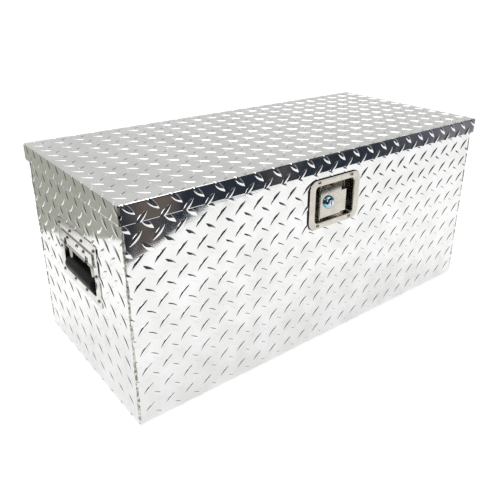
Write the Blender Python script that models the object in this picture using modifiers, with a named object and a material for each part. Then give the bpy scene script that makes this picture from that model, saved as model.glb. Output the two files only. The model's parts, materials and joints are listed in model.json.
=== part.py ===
"""Aluminium tread-plate tool box: chest, hinged lid, paddle latch, recessed swing handles, lid strut.

Metres, +Z up. The origin is the middle of the chest's underside. The front is -Y.
"""

import math

import bmesh
import bpy
from mathutils import Matrix, Vector

MM = 0.001

# Chest and lid
BODY_WIDTH = 762 * MM
BODY_DEPTH = 342 * MM
TOTAL_HEIGHT = 346 * MM
SHEET = 1.5 * MM
BEND_RADIUS = 3 * MM
RIM_LIP = 9 * MM
LID_FLANGE = 27.5 * MM
LID_EDGE_RADIUS = 2 * MM
LID_CLEARANCE = 3 * MM
SEAL_WIDTH = 6.5 * MM
SEAL_HEIGHT = 8 * MM
GAP = 0.3 * MM
BEND_STEPS = 3

# Lid stiffener: a hat section along the lid
STIFFENER_LENGTH = 600 * MM
STIFFENER_CROWN = 44 * MM
STIFFENER_FOOT = 14 * MM
STIFFENER_HEIGHT = 11 * MM

# Piano hinge
HINGE_LENGTH = 736 * MM
HINGE_LEAF = 20 * MM
HINGE_LEAF_THICKNESS = 1.2 * MM
KNUCKLE_RADIUS = 3.2 * MM
HINGE_PIN_RADIUS = 1.5 * MM
KNUCKLES = 13
KNUCKLE_GAP = 0.4 * MM

# Paddle latch: across is X, up is Z, and depth is measured in from the front of its flange
LATCH_X = -5 * MM
LATCH_DROP = 82.7 * MM
LATCH_FLANGE = (115 * MM, 85 * MM)
LATCH_FLANGE_RADIUS = 15 * MM
LATCH_MOUTH = (88 * MM, 62.5 * MM)
LATCH_MOUTH_RADIUS = 6 * MM
LATCH_SHEET = 1.2 * MM
LATCH_DEPTH = 22 * MM
GASKET = 1.0 * MM
LATCH_RIVET_SPACING = (74 * MM, 75 * MM)
PADDLE_LEFT = LATCH_X - 34 * MM
PADDLE_RIGHT = LATCH_X + 27 * MM
PADDLE_LOW = -26.5 * MM
PADDLE_HIGH = 25.5 * MM
PADDLE_SET_IN = 1 * MM
PADDLE_RIM = 10 * MM
PADDLE_NOTCH = (12 * MM, 11 * MM)
PADDLE_STEP = 3 * MM
PIN_RADIUS = 2 * MM
PIN_FROM_EDGE = 4.4 * MM
PADDLE_KNUCKLE = 4.2 * MM
ARM_WIDTH = 4 * MM
ARM_HEIGHT = 8 * MM
PADDLE_SWING = math.radians(30)
STOP_RADIUS = 3.3 * MM

# Lock in the paddle, and the bolt behind the pan
LOCK_FROM_PIN = 15.1 * MM
BEZEL_RADIUS = 11 * MM
BEZEL_HEIGHT = 7 * MM
BARREL_RADIUS = 8 * MM
PLUG_RADIUS = 5.8 * MM
CAM_STEM_RADIUS = 3 * MM
CAM_LENGTH = 14 * MM
CAM_THICKNESS = 2 * MM
BOLT_THICKNESS = 6 * MM
BOLT_HEIGHT = 16 * MM
BOLT_TRAVEL = 10.6 * MM
BOLT_WINDOW = 3.3 * MM
BOLT_TAIL = 8 * MM
BOLT_ENGAGEMENT = 6 * MM
CASE_SHEET = 1.5 * MM
CASE_FOOT = 8 * MM
SPRING_LENGTH = 27 * MM
SPRING_RADIUS = 2.5 * MM
SPRING_WIRE = 0.5 * MM
SPRING_TURNS = 7
STRIKE_THICKNESS = 3 * MM
STRIKE_WIDTH = 14 * MM
STRIKE_FOOT = 24 * MM

# Recessed handles: across is Y, and outward is measured from the end panel's face
DISH_Y = -5 * MM
DISH_DROP = 144 * MM
DISH_FLANGE = (150 * MM, 102 * MM)
DISH_FLANGE_RADIUS = 5 * MM
DISH_MOUTH = (117 * MM, 67 * MM)
DISH_MOUTH_DROP = 3.5 * MM
DISH_MOUTH_RADIUS = 6 * MM
DISH_SHEET = 1.2 * MM
DISH_DEPTH = 26 * MM
DISH_RIVETS_ACROSS = 4
DISH_RIVET_PITCH = 43.7 * MM
DISH_RIVET_ROWS = 82 * MM
PLATE_WIDTH = 121 * MM
PLATE_SHEET = 1.5 * MM
PLATE_HIGH = 33 * MM
PLATE_LOW = 13.5 * MM
PLATE_HEM = 1.6 * MM
PIVOT_RISE = 18.3 * MM
KNUCKLE_WALL = 2.2 * MM
KNUCKLE_INNER = 23 * MM
KNUCKLE_OUTER = 35 * MM
BAIL_RADIUS = 4 * MM
BAIL_SPREAD = 41 * MM
BAIL_CORNER = 9 * MM
BAIL_TAIL = 12 * MM
GRIP_RADIUS = 12.5 * MM
GRIP_LENGTH = 100 * MM
GRIP_DROP = 42 * MM
GRIP_SET_IN = 6 * MM
COIL_WIRE = 0.5 * MM
COIL_TURNS = 5
COIL_STEPS = 8

# Blind rivets
RIVET_HEAD = 3.3 * MM
RIVET_RISE = 1.6 * MM
RIVET_SHANK = 1.6 * MM
RIVET_TAIL = 2.4 * MM
RIVET_TAIL_LENGTH = 2.5 * MM
RIVET_SIDES = 8

# Gas strut at the right-hand end, from the end panel to the lid
STRUT_FOOT_FROM_HINGE = Vector((0, -189 * MM, -56 * MM))
STRUT_HEAD_FROM_HINGE = Vector((0, -60 * MM, 10.5 * MM))
STRUT_STAND_OFF = 24.5 * MM
STRUT_TUBE_RADIUS = 7.5 * MM
STRUT_TUBE_WALL = 1.2 * MM
STRUT_TUBE_LENGTH = 114 * MM
STRUT_ROD_RADIUS = 3 * MM
STRUT_PISTON_LENGTH = 8 * MM
STRUT_END_PLAY = 6 * MM
EYE_RADIUS = 7 * MM
EYE_WIDTH = 8 * MM
EYE_NECK = 10 * MM
STUD_RADIUS = 3.7 * MM
BRACKET_SHEET = 2 * MM
BRACKET_SIZE = 26 * MM
LID_BRACKET_WIDTH = 20 * MM
LID_BRACKET_FOOT = 16 * MM

# Places that several parts share
RIM_Z = TOTAL_HEIGHT - SHEET - SEAL_HEIGHT - 2 * GAP
FRONT_Y = -BODY_DEPTH / 2
BACK_Y = BODY_DEPTH / 2
LID_FRONT_Y = FRONT_Y - LID_CLEARANCE - SHEET
LID_BACK_Y = BACK_Y + LID_CLEARANCE + SHEET
LID_UNDERSIDE = TOTAL_HEIGHT - SHEET
LID_LOW = TOTAL_HEIGHT - LID_FLANGE
LEAF_BACK_Y = BACK_Y + GAP + HINGE_LEAF_THICKNESS
HINGE_Y = BACK_Y + 2 * GAP + KNUCKLE_RADIUS
HINGE_Z = LID_LOW - KNUCKLE_RADIUS - 1.3 * MM
HINGE_AXIS = Vector((0, HINGE_Y, HINGE_Z))
LATCH_Z = TOTAL_HEIGHT - LATCH_DROP
LATCH_FRONT = FRONT_Y - 2 * GAP - GASKET - LATCH_SHEET
PAN_FLOOR = LATCH_FRONT + LATCH_DEPTH - LATCH_SHEET
PAN_BACK = LATCH_FRONT + LATCH_DEPTH
PADDLE_FACE = LATCH_FRONT + PADDLE_SET_IN
PIN_X = PADDLE_LEFT + PIN_FROM_EDGE
PIN_Y = PADDLE_FACE + PIN_FROM_EDGE
LOCK_X = PIN_X + LOCK_FROM_PIN
CAM_FRONT = PAN_FLOOR - 1.2 * MM - CAM_THICKNESS
BOLT_FRONT = PAN_BACK + 2 * GAP
BOLT_BACK = BOLT_FRONT + BOLT_THICKNESS
CASE_LEFT = LATCH_X - LATCH_MOUTH[0] / 2 - LATCH_SHEET
STRIKE_RIGHT = CASE_LEFT - 3 * MM
BOLT_NOSE = STRIKE_RIGHT - STRIKE_THICKNESS - BOLT_ENGAGEMENT
BOLT_REAR = PIN_X + BOLT_WINDOW + BOLT_TAIL
CASE_RIGHT = BOLT_REAR + SPRING_LENGTH + 2 * GAP + CASE_SHEET
DISH_Z = TOTAL_HEIGHT - DISH_DROP
MOUTH_Z = DISH_Z - DISH_MOUTH_DROP
PLATE_OUT = 2 * GAP + DISH_SHEET
HANDLE_KNUCKLE = BAIL_RADIUS + GAP + KNUCKLE_WALL
COIL_RADIUS = (BAIL_RADIUS + COIL_WIRE) / math.cos(math.pi / COIL_STEPS) + 0.1 * GAP
PIVOT_SET_IN = COIL_RADIUS + COIL_WIRE + 2 * GAP - PLATE_OUT
PIVOT_Z = DISH_Z + PIVOT_RISE
GRIP_Z = PIVOT_Z - GRIP_DROP
STRUT_X = BODY_WIDTH / 2 - SHEET - STRUT_STAND_OFF
STRUT_FOOT = HINGE_AXIS + STRUT_FOOT_FROM_HINGE
STRUT_HEAD = HINGE_AXIS + STRUT_HEAD_FROM_HINGE


def clear_scene():
    for thing in list(bpy.data.objects):
        bpy.data.objects.remove(thing)


def new_collection(name):
    made = bpy.data.collections.new(name)
    bpy.context.scene.collection.children.link(made)
    return made


def new_material(name, colour, roughness, metallic):
    made = bpy.data.materials.new(name)
    made.use_nodes = True
    shader = made.node_tree.nodes["Principled BSDF"]
    shader.inputs["Base Color"].default_value = (*colour, 1)
    shader.inputs["Roughness"].default_value = roughness
    shader.inputs["Metallic"].default_value = metallic
    return made


clear_scene()
PARTS = new_collection("tool_box")
CUTTERS = new_collection("cutters")
TREAD_PLATE = new_material("tread_plate", (0.86, 0.87, 0.88), 0.18, 1)
PLAIN_ALUMINIUM = new_material("plain_aluminium", (0.80, 0.81, 0.82), 0.35, 1)
STAINLESS = new_material("stainless", (0.72, 0.70, 0.66), 0.28, 1)
CHROME = new_material("chrome", (0.85, 0.87, 0.90), 0.06, 1)
ZINC = new_material("zinc", (0.62, 0.61, 0.56), 0.40, 1)
RUBBER = new_material("rubber", (0.03, 0.03, 0.03), 0.70, 0)
STRUT_BLACK = new_material("strut_black", (0.02, 0.02, 0.02), 0.30, 0)


def add_object(name, mesh, finish):
    """A named part with its material, or a hidden cutter where finish is None."""
    made = bpy.data.objects.new(name, mesh)
    if finish is None:
        CUTTERS.objects.link(made)
        made.hide_render = True
        made.display_type = "WIRE"
    else:
        PARTS.objects.link(made)
        mesh.materials.append(finish)
    return made


def mesh_from(name, shape):
    mesh = bpy.data.meshes.new(name)
    shape.to_mesh(mesh)
    shape.free()
    return mesh


def add_block(shape, low, high):
    """Adds a block between two corners to a bmesh and returns its vertices."""
    low, high = Vector(low), Vector(high)
    made = bmesh.ops.create_cube(shape, size=1)["verts"]
    bmesh.ops.scale(shape, vec=high - low, verts=made)
    bmesh.ops.translate(shape, vec=(low + high) / 2, verts=made)
    return made


def block(name, low, high, finish=None, round_along=None, radius=0, segments=BEND_STEPS):
    """A block between two corners, with the edges along one axis rounded where an axis is given."""
    shape = bmesh.new()
    add_block(shape, low, high)
    if round_along is not None:
        along = [
            edge
            for edge in shape.edges
            if abs((edge.verts[1].co - edge.verts[0].co).normalized()[round_along]) > 0.99
        ]
        bmesh.ops.bevel(
            shape, geom=along, offset=radius, offset_type="OFFSET", segments=segments, profile=0.5, affect="EDGES"
        )
    return add_object(name, mesh_from(name, shape), finish)


def blocks(name, corners):
    """One cutter made of several separate blocks."""
    shape = bmesh.new()
    for low, high in corners:
        add_block(shape, low, high)
    return add_object(name, mesh_from(name, shape), None)


def add_cylinder(shape, start, end, radius, sides):
    start, end = Vector(start), Vector(end)
    turn = (end - start).to_track_quat("Z", "Y").to_matrix().to_4x4()
    place = Matrix.Translation((start + end) / 2) @ turn @ Matrix.Rotation(math.pi / sides, 4, "Z")
    bmesh.ops.create_cone(
        shape,
        cap_ends=True,
        segments=sides,
        radius1=radius,
        radius2=radius,
        depth=(end - start).length,
        matrix=place,
    )


def cylinder(name, start, end, radius, finish=None, sides=16):
    shape = bmesh.new()
    add_cylinder(shape, start, end, radius, sides)
    mesh = mesh_from(name, shape)
    mesh.shade_smooth()
    mesh.set_sharp_from_angle(angle=math.radians(40))
    return add_object(name, mesh, finish)


def cylinders(name, lines, radius, sides):
    """One cutter made of several separate cylinders."""
    shape = bmesh.new()
    for start, end in lines:
        add_cylinder(shape, start, end, radius, sides)
    return add_object(name, mesh_from(name, shape), None)


def turned(name, profile, place, axis, finish=None, steps=16):
    """A profile of (radius, distance along the axis), top to bottom, turned round the axis at place."""
    mesh = bpy.data.meshes.new(name)
    points = [(radius, 0, along) for radius, along in profile]
    mesh.from_pydata(points, [(i, i + 1) for i in range(len(points) - 1)], [])
    made = add_object(name, mesh, finish)
    made.rotation_mode = "QUATERNION"
    made.rotation_quaternion = Vector(axis).to_track_quat("Z", "Y")
    made.location = place
    screw = made.modifiers.new("turn", "SCREW")
    screw.steps = screw.render_steps = steps
    screw.use_merge_vertices = True
    screw.merge_threshold = 0.00001
    return made


def combine(target, other, operation="DIFFERENCE"):
    modifier = target.modifiers.new(other.name, "BOOLEAN")
    modifier.operation = operation
    modifier.object = other
    modifier.solver = "EXACT"
    return target


def cut(target, *others):
    for other in others:
        combine(target, other)
    return target


def join(target, *others):
    for other in others:
        combine(target, other, "UNION")
    return target


def set_origin(made, point):
    """Moves an unturned object's origin to a point and leaves its shape where it is."""
    made.data.transform(Matrix.Translation(made.location - Vector(point)))
    made.location = point


def hold(name, point, *pieces):
    """An empty on a joint's axis that carries the pieces, each with its origin on the axis."""
    axis_empty = bpy.data.objects.new(name, None)
    axis_empty.location = point
    axis_empty.empty_display_size = 20 * MM
    PARTS.objects.link(axis_empty)
    for piece in pieces:
        if piece.rotation_mode == "XYZ":
            set_origin(piece, point)
        piece.parent = axis_empty
        piece.location = piece.location - axis_empty.location
    return axis_empty


def bend_points(points, radius):
    """An open path through the points with each inner corner turned into an arc of this radius."""
    points = [Vector(point) for point in points]
    path = [points[0]]
    for before, corner, after in zip(points, points[1:], points[2:]):
        way_in = (before - corner).normalized()
        way_out = (after - corner).normalized()
        half = way_in.angle(way_out) / 2
        centre = corner + (way_in + way_out).normalized() * radius / math.sin(half)
        start = corner + way_in * radius / math.tan(half) - centre
        end = corner + way_out * radius / math.tan(half) - centre
        sweep = start.angle(end)
        for step in range(BEND_STEPS + 1):
            share = step / BEND_STEPS
            arc = (start * math.sin((1 - share) * sweep) + end * math.sin(share * sweep)) / math.sin(sweep)
            path.append(centre + arc)
    return path + [points[-1]]


def bent_sheet(name, path, run, thickness, finish):
    """A sheet bent along a path and as long as run, whose thickness goes to the left of the path."""
    mesh = bpy.data.meshes.new(name)
    run = Vector(run)
    near = [point - run / 2 for point in path]
    far = [point + run / 2 for point in path]
    count = len(path)
    faces = [(i, i + 1, count + i + 1, count + i) for i in range(count - 1)]
    mesh.from_pydata(near + far, [], faces)
    made = add_object(name, mesh, finish)
    wall = made.modifiers.new("wall", "SOLIDIFY")
    wall.thickness = thickness
    wall.offset = -1
    wall.use_even_offset = True
    return made


def wire(name, points, radius, finish, resolution=2):
    """A round wire along the points, with closed ends."""
    curve = bpy.data.curves.new(name, "CURVE")
    curve.dimensions = "3D"
    curve.bevel_depth = radius
    curve.bevel_resolution = resolution
    curve.use_fill_caps = True
    spline = curve.splines.new("POLY")
    spline.points.add(len(points) - 1)
    for spline_point, point in zip(spline.points, points):
        spline_point.co = (*point, 1)
    made = bpy.data.objects.new(name, curve)
    PARTS.objects.link(made)
    curve.materials.append(finish)
    return made


def coil(centre, axis, across, radius, length, turns):
    """Points along a helix that starts at centre and runs along the axis."""
    axis, across = Vector(axis), Vector(across)
    other = axis.cross(across)
    points = []
    for step in range(turns * COIL_STEPS + 1):
        angle = 2 * math.pi * step / COIL_STEPS
        along = length * step / (turns * COIL_STEPS)
        points.append(Vector(centre) + axis * along + (across * math.cos(angle) + other * math.sin(angle)) * radius)
    return points


def rivet(name, seat, outward, grip):
    """A set blind rivet: its head sits GAP off the seat and its shank goes through the grip."""
    head = GAP + RIVET_RISE
    tail = -grip - GAP
    profile = [
        (0, head),
        (0.55 * RIVET_HEAD, head - 0.15 * RIVET_RISE),
        (0.9 * RIVET_HEAD, GAP + 0.4 * RIVET_RISE),
        (RIVET_HEAD, GAP),
        (RIVET_SHANK, GAP),
        (RIVET_SHANK, tail),
        (RIVET_TAIL, tail),
        (RIVET_TAIL, tail - RIVET_TAIL_LENGTH),
        (0, tail - RIVET_TAIL_LENGTH),
    ]
    return turned(name, profile, seat, outward, ZINC, RIVET_SIDES)


def rivet_holes(name, seats, outward, grip):
    """A cutter for the holes that rivets at these seats pass through."""
    outward = Vector(outward)
    lines = [(seat + outward * 2 * MM, seat - outward * (grip + 2 * MM)) for seat in seats]
    return cylinders(name, lines, RIVET_SHANK + GAP, RIVET_SIDES)


def latch_rivet_seats():
    across, up = LATCH_RIVET_SPACING
    return [
        Vector((LATCH_X + side * across / 2, LATCH_FRONT, LATCH_Z + level * up / 2))
        for level in (1, -1)
        for side in (-1, 1)
    ]


def dish_rivet_seats(side):
    """Four along the top, four along the bottom and one half way up each side of the dish's flange."""
    out = side * (BODY_WIDTH / 2 + GAP + DISH_SHEET)
    rows = []
    for level in (DISH_RIVET_ROWS / 2, -DISH_RIVET_ROWS / 2):
        for place in range(DISH_RIVETS_ACROSS):
            across = (place - (DISH_RIVETS_ACROSS - 1) / 2) * DISH_RIVET_PITCH
            rows.append(Vector((out, DISH_Y + across, DISH_Z + level)))
    half_across = (DISH_RIVETS_ACROSS - 1) / 2 * DISH_RIVET_PITCH
    return rows + [Vector((out, DISH_Y + way * half_across, DISH_Z)) for way in (-1, 1)]


LATCH_GRIP = LATCH_SHEET + GASKET + SHEET + 2 * GAP
DISH_GRIP = DISH_SHEET + SHEET + GAP


def face_block(side, depths, widths, heights):
    """Low and high corners of a block on an end panel, with depths measured outward from its face."""
    ends = sorted(side * (BODY_WIDTH / 2 + depth) for depth in depths)
    return (ends[0], widths[0], heights[0]), (ends[1], widths[1], heights[1])


def make_wrap():
    """Front, floor and back in one bent sheet, with a lip turned in along the top of each wall."""
    path = bend_points(
        [
            (0, FRONT_Y + RIM_LIP, RIM_Z),
            (0, FRONT_Y, RIM_Z),
            (0, FRONT_Y, 0),
            (0, BACK_Y, 0),
            (0, BACK_Y, RIM_Z),
            (0, BACK_Y - RIM_LIP, RIM_Z),
        ],
        BEND_RADIUS,
    )
    wrap = bent_sheet("body_wrap", path, (BODY_WIDTH, 0, 0), SHEET, TREAD_PLATE)
    half_across = LATCH_MOUTH[0] / 2 + 2 * LATCH_SHEET
    half_up = LATCH_MOUTH[1] / 2 + 2 * LATCH_SHEET
    mouth = block(
        "latch_cut_out",
        (LATCH_X - half_across, FRONT_Y - 5 * MM, LATCH_Z - half_up),
        (LATCH_X + half_across, FRONT_Y + 5 * MM, LATCH_Z + half_up),
        round_along=1,
        radius=LATCH_MOUTH_RADIUS + LATCH_SHEET,
    )
    holes = rivet_holes("latch_holes_in_wrap", latch_rivet_seats(), (0, -1, 0), LATCH_GRIP)
    return cut(wrap, mouth, holes)


def make_end_panel(side, end):
    """A flat end with a lip along its top, notched round the wrap's lips and rounded to fit the wrap's bends."""
    outer = side * BODY_WIDTH / 2
    low = SHEET + GAP
    path = bend_points([(outer, 0, low), (outer, 0, RIM_Z), (outer - side * RIM_LIP, 0, RIM_Z)], BEND_RADIUS)
    if side > 0:
        path.reverse()
    length = BODY_DEPTH - 2 * SHEET - 2 * GAP
    panel = bent_sheet(f"end_panel_{end}", path, (0, length, 0), SHEET, TREAD_PLATE)
    inside = block(
        f"end_outline_{end}",
        (min(outer, outer - side * 30 * MM) - MM, -length / 2, low),
        (max(outer, outer - side * 30 * MM) + MM, length / 2, RIM_Z + 2 * BEND_RADIUS),
        round_along=0,
        radius=BEND_RADIUS - SHEET,
    )
    combine(panel, inside, "INTERSECT")
    lip_end = BODY_DEPTH / 2 - RIM_LIP - GAP
    span = sorted((outer + side * 2 * MM, outer - side * (RIM_LIP + 2 * MM)))
    notches = blocks(
        f"rim_notches_{end}",
        [
            ((span[0], ends[0], RIM_Z - BEND_RADIUS - GAP), (span[1], ends[1], RIM_Z + MM))
            for ends in ((-BODY_DEPTH, -lip_end), (lip_end, BODY_DEPTH))
        ],
    )
    half_across = DISH_MOUTH[0] / 2 + 2 * DISH_SHEET
    half_up = DISH_MOUTH[1] / 2 + 2 * DISH_SHEET
    low_corner, high_corner = face_block(
        side, (-5 * MM, 5 * MM), (DISH_Y - half_across, DISH_Y + half_across), (MOUTH_Z - half_up, MOUTH_Z + half_up)
    )
    mouth = block(
        f"dish_cut_out_{end}", low_corner, high_corner, round_along=0, radius=DISH_MOUTH_RADIUS + DISH_SHEET
    )
    holes = rivet_holes(f"dish_holes_in_panel_{end}", dish_rivet_seats(side), (side, 0, 0), DISH_GRIP)
    return cut(panel, notches, mouth, holes)


def make_rim_seal():
    """A rubber strip all round the chest's rim, under the lid."""
    out_x = BODY_WIDTH / 2 - (RIM_LIP - SEAL_WIDTH) / 2
    out_y = BODY_DEPTH / 2 - (RIM_LIP - SEAL_WIDTH) / 2
    low = RIM_Z + GAP
    high = low + SEAL_HEIGHT
    ring = block("rim_seal", (-out_x, -out_y, low), (out_x, out_y, high), RUBBER, 2, SEAL_WIDTH)
    in_x = out_x - SEAL_WIDTH
    in_y = out_y - SEAL_WIDTH
    return cut(ring, block("seal_inside", (-in_x, -in_y, low - MM), (in_x, in_y, high + MM)))


def make_lid_sheet():
    """The lid's top and its four turned-down flanges."""
    out_x = BODY_WIDTH / 2 + LID_CLEARANCE + SHEET
    shape = bmesh.new()
    add_block(shape, (-out_x, LID_FRONT_Y, LID_LOW), (out_x, LID_BACK_Y, TOTAL_HEIGHT))
    bottom = [face for face in shape.faces if face.normal.z < -0.5]
    bmesh.ops.delete(shape, geom=bottom, context="FACES")
    folds = [edge for edge in shape.edges if not edge.is_boundary]
    bmesh.ops.bevel(
        shape, geom=folds, offset=LID_EDGE_RADIUS, offset_type="OFFSET", segments=3, profile=0.5, affect="EDGES"
    )
    lid = add_object("lid_sheet", mesh_from("lid_sheet", shape), TREAD_PLATE)
    wall = lid.modifiers.new("wall", "SOLIDIFY")
    wall.thickness = SHEET
    wall.offset = -1
    wall.use_even_offset = True
    return lid


def make_lid_stiffener():
    """A hat section that stops the lid's flat top from drumming."""
    top = LID_UNDERSIDE - GAP
    crown = STIFFENER_CROWN / 2
    path = bend_points(
        [
            (0, -crown - STIFFENER_FOOT, top),
            (0, -crown, top),
            (0, -crown * 0.8, top - STIFFENER_HEIGHT),
            (0, crown * 0.8, top - STIFFENER_HEIGHT),
            (0, crown, top),
            (0, crown + STIFFENER_FOOT, top),
        ],
        2.5 * MM,
    )
    path.reverse()
    return bent_sheet("lid_stiffener", path, (STIFFENER_LENGTH, 0, 0), LATCH_SHEET, PLAIN_ALUMINIUM)


def knuckle_spans(first):
    """The stretches along X of every second knuckle, from the first on."""
    pitch = HINGE_LENGTH / KNUCKLES
    left = -HINGE_LENGTH / 2
    return [(left + place * pitch, left + (place + 1) * pitch) for place in range(first, KNUCKLES, 2)]


def make_hinge_leaf(name, low, high, others):
    """A flat leaf with knuckles, cut away where the other leaf's knuckles are."""
    half = HINGE_LENGTH / 2
    leaf = block(name, (-half, *low), (half, *high), PLAIN_ALUMINIUM)
    start, end = (HINGE_AXIS + Vector((way * half, 0, 0)) for way in (-1, 1))
    barrel = cylinder(f"{name}_barrel", start, end, KNUCKLE_RADIUS, sides=10)
    bore_ends = (start - Vector((MM, 0, 0)), end + Vector((MM, 0, 0)))
    bore = cylinder(f"{name}_bore", *bore_ends, HINGE_PIN_RADIUS + GAP, sides=10)
    reach = KNUCKLE_RADIUS + KNUCKLE_GAP
    gaps = blocks(
        f"{name}_gaps",
        [
            (
                (span[0] - KNUCKLE_GAP / 2, HINGE_Y - reach - MM, HINGE_Z - reach),
                (span[1] + KNUCKLE_GAP / 2, HINGE_Y + reach + MM, HINGE_Z + reach),
            )
            for span in knuckle_spans(others)
        ],
    )
    join(leaf, barrel)
    return cut(leaf, gaps, bore)


def make_hinge():
    body_leaf = make_hinge_leaf(
        "hinge_leaf_body", (BACK_Y + GAP, HINGE_Z - HINGE_LEAF), (LEAF_BACK_Y, HINGE_Z), others=1
    )
    lid_face = LID_BACK_Y + GAP
    lid_leaf = make_hinge_leaf(
        "hinge_leaf_lid", (lid_face, HINGE_Z), (lid_face + HINGE_LEAF_THICKNESS, HINGE_Z + HINGE_LEAF), others=0
    )
    half = Vector((HINGE_LENGTH / 2, 0, 0))
    cylinder("hinge_pin", HINGE_AXIS - half, HINGE_AXIS + half, HINGE_PIN_RADIUS, ZINC, sides=10)
    return body_leaf, lid_leaf


def make_latch_pan():
    """The gasket, and the dished pan that the paddle sits in."""
    half_across, half_up = LATCH_FLANGE[0] / 2, LATCH_FLANGE[1] / 2
    mouth_across, mouth_up = LATCH_MOUTH[0] / 2, LATCH_MOUTH[1] / 2
    holes = rivet_holes("latch_holes", latch_rivet_seats(), (0, -1, 0), LATCH_GRIP)
    gasket = block(
        "latch_gasket",
        (LATCH_X - half_across, FRONT_Y - GAP - GASKET, LATCH_Z - half_up),
        (LATCH_X + half_across, FRONT_Y - GAP, LATCH_Z + half_up),
        RUBBER,
        round_along=1,
        radius=LATCH_FLANGE_RADIUS,
        segments=4,
    )
    inner = block(
        "gasket_cut_out",
        (LATCH_X - mouth_across - 2 * LATCH_SHEET, FRONT_Y - 9 * MM, LATCH_Z - mouth_up - 2 * LATCH_SHEET),
        (LATCH_X + mouth_across + 2 * LATCH_SHEET, FRONT_Y + 9 * MM, LATCH_Z + mouth_up + 2 * LATCH_SHEET),
        round_along=1,
        radius=LATCH_MOUTH_RADIUS + LATCH_SHEET,
    )
    cut(gasket, inner, holes)

    pan = block(
        "latch_pan",
        (LATCH_X - half_across, LATCH_FRONT, LATCH_Z - half_up),
        (LATCH_X + half_across, LATCH_FRONT + LATCH_SHEET, LATCH_Z + half_up),
        STAINLESS,
        round_along=1,
        radius=LATCH_FLANGE_RADIUS,
        segments=4,
    )
    tub = block(
        "latch_tub",
        (LATCH_X - mouth_across - LATCH_SHEET, LATCH_FRONT + LATCH_SHEET / 2, LATCH_Z - mouth_up - LATCH_SHEET),
        (LATCH_X + mouth_across + LATCH_SHEET, PAN_BACK, LATCH_Z + mouth_up + LATCH_SHEET),
        round_along=1,
        radius=LATCH_MOUTH_RADIUS + LATCH_SHEET,
    )
    pocket = block(
        "latch_pocket",
        (LATCH_X - mouth_across, LATCH_FRONT - 5 * MM, LATCH_Z - mouth_up),
        (LATCH_X + mouth_across, PAN_FLOOR, LATCH_Z + mouth_up),
        round_along=1,
        radius=LATCH_MOUTH_RADIUS,
    )
    arm_swing = (PAN_BACK - PIN_Y) * math.tan(PADDLE_SWING) + ARM_WIDTH
    arm_slot = block(
        "arm_slot",
        (PIN_X - ARM_WIDTH, PAN_FLOOR - MM, LATCH_Z - ARM_HEIGHT / 2 - MM),
        (PIN_X + arm_swing, PAN_BACK + MM, LATCH_Z + ARM_HEIGHT / 2 + MM),
    )
    reach = Vector((0, 0, mouth_up + 3 * LATCH_SHEET))
    pin_centre = Vector((PIN_X, PIN_Y, LATCH_Z))
    pin_holes = cylinder("pin_holes", pin_centre - reach, pin_centre + reach, PIN_RADIUS + GAP, sides=12)
    join(pan, tub)
    cut(pan, pocket, arm_slot, pin_holes, holes)
    for place, seat in enumerate(latch_rivet_seats(), 1):
        rivet(f"latch_rivet_{place}", seat, (0, -1, 0), LATCH_GRIP)
    stop_x = PADDLE_RIGHT - STOP_RADIUS
    stop_z = LATCH_Z + PADDLE_HIGH - PADDLE_NOTCH[1]
    cylinder(
        "paddle_stop",
        (stop_x, PADDLE_FACE + 3 * MM, stop_z),
        (stop_x, PAN_FLOOR - GAP, stop_z),
        STOP_RADIUS,
        RUBBER,
        sides=12,
    )


def make_paddle():
    """The pull plate: three rims turned back, knuckles round its pin, and an arm that works the bolt."""
    low, high = LATCH_Z + PADDLE_LOW, LATCH_Z + PADDLE_HIGH
    wall = LATCH_SHEET
    paddle = block(
        "paddle", (PADDLE_LEFT, PADDLE_FACE, low), (PADDLE_RIGHT, PADDLE_FACE + PADDLE_RIM, high), STAINLESS
    )
    hollow = block(
        "paddle_hollow",
        (PADDLE_LEFT + wall, PADDLE_FACE + wall, low + wall),
        (PADDLE_RIGHT + MM, PADDLE_FACE + 2 * PADDLE_RIM, high - wall),
    )
    notch_left = PADDLE_RIGHT - PADDLE_NOTCH[0]
    front, back = PADDLE_FACE - MM, PADDLE_FACE + 2 * PADDLE_RIM
    notches = blocks(
        "paddle_notches",
        [
            ((notch_left, front, high - PADDLE_NOTCH[1]), (PADDLE_RIGHT + MM, back, high + MM)),
            ((notch_left, front, low - MM), (PADDLE_RIGHT + MM, back, low + PADDLE_STEP)),
        ],
    )
    cut(paddle, hollow, notches)
    pin_up = Vector((0, 0, 1))
    pin = Vector((PIN_X, PIN_Y, 0))
    knuckle_ends = (
        (low + wall / 2, LATCH_Z - 14 * MM),
        (LATCH_Z - 5 * MM, LATCH_Z + 5 * MM),
        (LATCH_Z + 14 * MM, high - wall / 2),
    )
    for place, (start, end) in enumerate(knuckle_ends, 1):
        join(paddle, cylinder(f"paddle_knuckle_{place}", pin + pin_up * start, pin + pin_up * end, PADDLE_KNUCKLE))
    arm = block(
        "paddle_arm",
        (PIN_X - ARM_WIDTH / 2, PIN_Y + PIN_RADIUS + MM, LATCH_Z - ARM_HEIGHT / 2),
        (PIN_X + ARM_WIDTH / 2, BOLT_BACK, LATCH_Z + ARM_HEIGHT / 2),
    )
    join(paddle, arm)
    reach = LATCH_MOUTH[1] / 2
    bore_ends = (pin + pin_up * (LATCH_Z - reach), pin + pin_up * (LATCH_Z + reach))
    bore = cylinder("paddle_bore", *bore_ends, PIN_RADIUS + GAP, sides=12)
    lock_hole = cylinder(
        "lock_hole",
        (LOCK_X, PADDLE_FACE - 2 * MM, LATCH_Z),
        (LOCK_X, PADDLE_FACE + 2 * wall, LATCH_Z),
        BARREL_RADIUS + GAP,
    )
    cut(paddle, bore, lock_hole)
    pin_reach = reach + LATCH_SHEET + MM
    pin_ends = (pin + pin_up * (LATCH_Z - pin_reach), pin + pin_up * (LATCH_Z + pin_reach))
    cylinder("paddle_pin", *pin_ends, PIN_RADIUS, ZINC, sides=12)
    return paddle


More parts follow.
